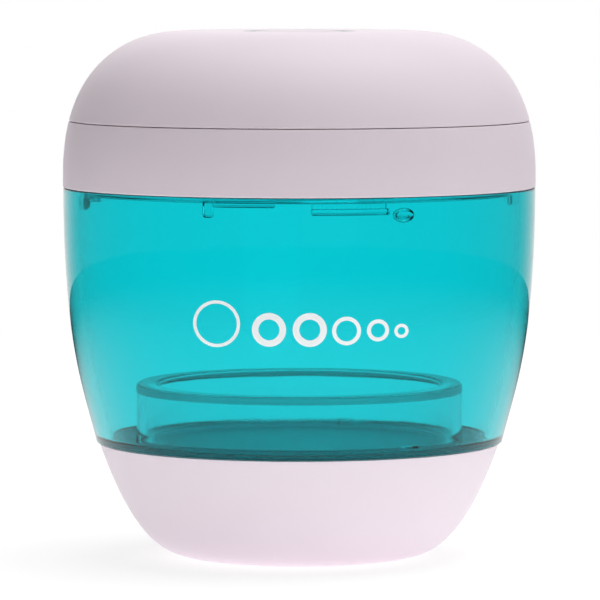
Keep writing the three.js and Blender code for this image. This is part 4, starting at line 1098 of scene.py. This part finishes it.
class CASE_OT_controls(bpy.types.Operator):
    """Makes the battery, the boards' parts, their screws and the leads inside the lid"""

    bl_idname = "case.controls"
    bl_label = "Controls"

    def execute(self, context):
        for piece, node, finish, slot, width in INNER_PIECES:
            finished(cad_copy(node, width * MM), piece, "lid", finish, [node])
        screws("post_screw", "board_screw", "lid", board_posts(), 75.7 * MM, (1.9, 1.1, 0.95, 4.8))
        for colour in ("red", "black"):
            low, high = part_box(f"led_lead_{colour}")
            x, front, back = (low.x + high.x) / 2, low.y + LEAD_RADIUS, high.y - LEAD_RADIUS
            rise = (high.z - low.z) / 4
            lamp = [(x, front, low.z), (x, front, low.z + rise), (x, back, high.z - rise), (x, back, high.z)]
            low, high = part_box(f"battery_lead_{colour}")
            y, bottom, side = (low.y + high.y) / 2, low.z + LEAD_RADIUS, high.x - LEAD_RADIUS
            bend = 0.4 * MM
            cell = [(low.x, y, bottom), (side - bend, y, bottom), (side, y, bottom + bend), (side, y, high.z)]
            for path, name, node in ((lamp, "lamp_lead", "led_lead"), (cell, "cell_lead", "battery_lead")):
                finished(lead(path), f"{name}_{colour}", "lid", f"{colour}_pvc", [f"{node}_{colour}"])
        return {"FINISHED"}


# Stage

WHITE = grey(1)
SOFT_LAMPS = (
    # name, place, diameter, watts
    ("overhead", (0.14, 0.05, 0.95), 0.8, 11.3),
    ("front_fill", (0.28, -1.0, 0.12), 0.6, 0.9),
)
CASE_MIDDLE = Vector((0, 0, 0.04))
CAMERA_PLACE = (0.11 * MM, -805 * MM, 98.8 * MM)
CAMERA_TILT = 0.072  # radians below the level
FOCAL_LENGTH, SENSOR_WIDTH = 304.4, 36  # in the camera's own millimetres


def seen_directly(tree):
    """1 for what the camera sees, straight, mirrored or through glass, and 0 for other light"""
    path = add(tree, "LightPath").outputs
    sharp = add(tree, "Math", (path["Is Camera Ray"], path["Is Glossy Ray"]), operation="MAXIMUM")
    return add(tree, "Math", (sharp, path["Is Transmission Ray"]), operation="MAXIMUM")


def white_floor():
    """Lit white table: it keeps a soft shadow of the case and otherwise reads as pure white"""
    material = bpy.data.materials.new("white_floor_paint")
    tree = empty_tree(material)
    place = add(tree, "TexCoord").outputs["Object"]
    mottle = add(tree, "TexNoise", {"Vector": place, "Scale": per(60), "Detail": 2.0})
    paint = add(tree, "Mix", {0: mottle, 6: grey(0.9), 7: grey(0.92)}, data_type="RGBA")
    lit = add(tree, "BsdfDiffuse", [paint.outputs[2]])
    under = add(tree, "Emission", {"Color": (1, 0.98, 1, 1), "Strength": 0.68})
    lit = add(tree, "AddShader", (lit, under))
    weak = add(tree, "BsdfDiffuse", [grey(0.25)])
    glow = add(tree, "Emission", {"Color": WHITE, "Strength": 0.82})
    bright = add(tree, "AddShader", (weak, glow))
    # mirrored in gloss, the table fades out away from the case, into the dim side of the room
    away = add(tree, "VectorMath", [place], operation="LENGTH").outputs["Value"]
    fade = add(
        tree, "MapRange", {"Value": away, "From Min": 0.06, "From Max": 0.34},
        interpolation_type="SMOOTHSTEP",
    )
    path = add(tree, "LightPath").outputs
    mirrored = add(
        tree, "Math", (path["Is Glossy Ray"], path["Is Transmission Ray"]),
        operation="SUBTRACT", use_clamp=True,
    )
    far = add(tree, "Math", (mirrored, fade), operation="MULTIPLY")
    dark = add(tree, "Emission", {"Color": WHITE, "Strength": 0.05})
    shown = add(tree, "MixShader", (far, bright, dark))
    mix = add(tree, "MixShader", (seen_directly(tree), lit, shown))
    add(tree, "OutputMaterial", [mix])
    return material


def studio():
    """A room that is white behind the case and dim on the camera's side of it"""
    world = bpy.data.worlds.new("studio")
    tree = empty_tree(world)
    towards = add(tree, "TexCoord").outputs["Generated"]
    depth = add(tree, "SeparateXYZ", [towards]).outputs["Y"]
    room = add(
        tree, "MapRange",
        {"Value": depth, "From Min": 0.7, "From Max": 1.03, "To Min": 0.18, "To Max": 1.0},
        interpolation_type="SMOOTHSTEP",
    )
    path = add(tree, "LightPath").outputs
    clear = (path["Is Camera Ray"], path["Is Transmission Ray"])
    direct = add(tree, "Math", clear, operation="MAXIMUM")
    level = add(tree, "Math", (direct, room), operation="MAXIMUM")
    dim = add(tree, "Background", {"Color": (0.96, 0.94, 1, 1), "Strength": 0.03})
    white = add(tree, "Background", {"Color": WHITE, "Strength": level})
    mix = add(tree, "MixShader", (seen_directly(tree), dim, white))
    add(tree, "OutputWorld", [mix])
    return world


class CASE_OT_stage(bpy.types.Operator):
    """Makes the white floor, the soft lamps, the surroundings and the camera"""

    bl_idname = "case.stage"
    bl_label = "Stage"

    def execute(self, context):
        scene = context.scene
        scene.view_settings.view_transform = "Standard"
        scene.world = studio()
        disc = bmesh.new()
        under = Matrix.Translation((0, 0, -0.05 * MM))
        bmesh.ops.create_circle(disc, cap_ends=True, segments=128, radius=0.45, matrix=under)
        floor = linked("floor", mesh_data("floor", disc))
        floor.data.materials.append(white_floor())
        for name, place, diameter, watts in SOFT_LAMPS:
            light = bpy.data.lights.new(name, "AREA")
            light.shape = "DISK"
            light.size = diameter
            light.energy = watts
            lamp = linked(name, light)
            lamp.location = place
            lamp.rotation_euler = (CASE_MIDDLE - Vector(place)).to_track_quat("-Z", "Y").to_euler()
            lamp.visible_glossy = False
        lens = bpy.data.cameras.new("camera")
        lens.lens, lens.sensor_width = FOCAL_LENGTH, SENSOR_WIDTH
        lens.clip_start, lens.clip_end = 0.05, 50
        camera = linked("camera", lens)
        camera.location = CAMERA_PLACE
        camera.rotation_euler = (math.pi / 2 - CAMERA_TILT, 0, 0)
        scene.camera = camera
        return {"FINISHED"}


class CASE_PT_panel(bpy.types.Panel):
    """Lists the pieces of the case with their sizes and colours"""

    bl_idname = "CASE_PT_panel"
    bl_label = "Sterilizer Case"
    bl_space_type = "VIEW_3D"
    bl_region_type = "UI"
    bl_category = "Sterilizer Case"

    def draw(self, context):
        for group in (shape(), colours()):
            box = self.layout.box()
            for key in group.__annotations__:
                box.prop(group, key)
        for operator in OPERATORS:
            self.layout.operator(operator.bl_idname)


OPERATORS = (
    CASE_OT_base,
    CASE_OT_cup,
    CASE_OT_stand,
    CASE_OT_lid,
    CASE_OT_port,
    CASE_OT_button,
    CASE_OT_lamp,
    CASE_OT_controls,
    CASE_OT_stage,
)
CLASSES = (CaseShape, CaseColours, *OPERATORS, CASE_PT_panel)


def register():
    for each in CLASSES:
        bpy.utils.register_class(each)
    bpy.types.Scene.case_shape = bpy.props.PointerProperty(type=CaseShape)
    bpy.types.Scene.case_colours = bpy.props.PointerProperty(type=CaseColours)


def unregister():
    del bpy.types.Scene.case_colours
    del bpy.types.Scene.case_shape
    for each in reversed(CLASSES):
        bpy.utils.unregister_class(each)


def main():
    register()
    for operator in OPERATORS:
        group, name = operator.bl_idname.split(".")
        getattr(getattr(bpy.ops, group), name)()
    bpy.context.view_layer.update()


if __name__ == "__main__":
    main()
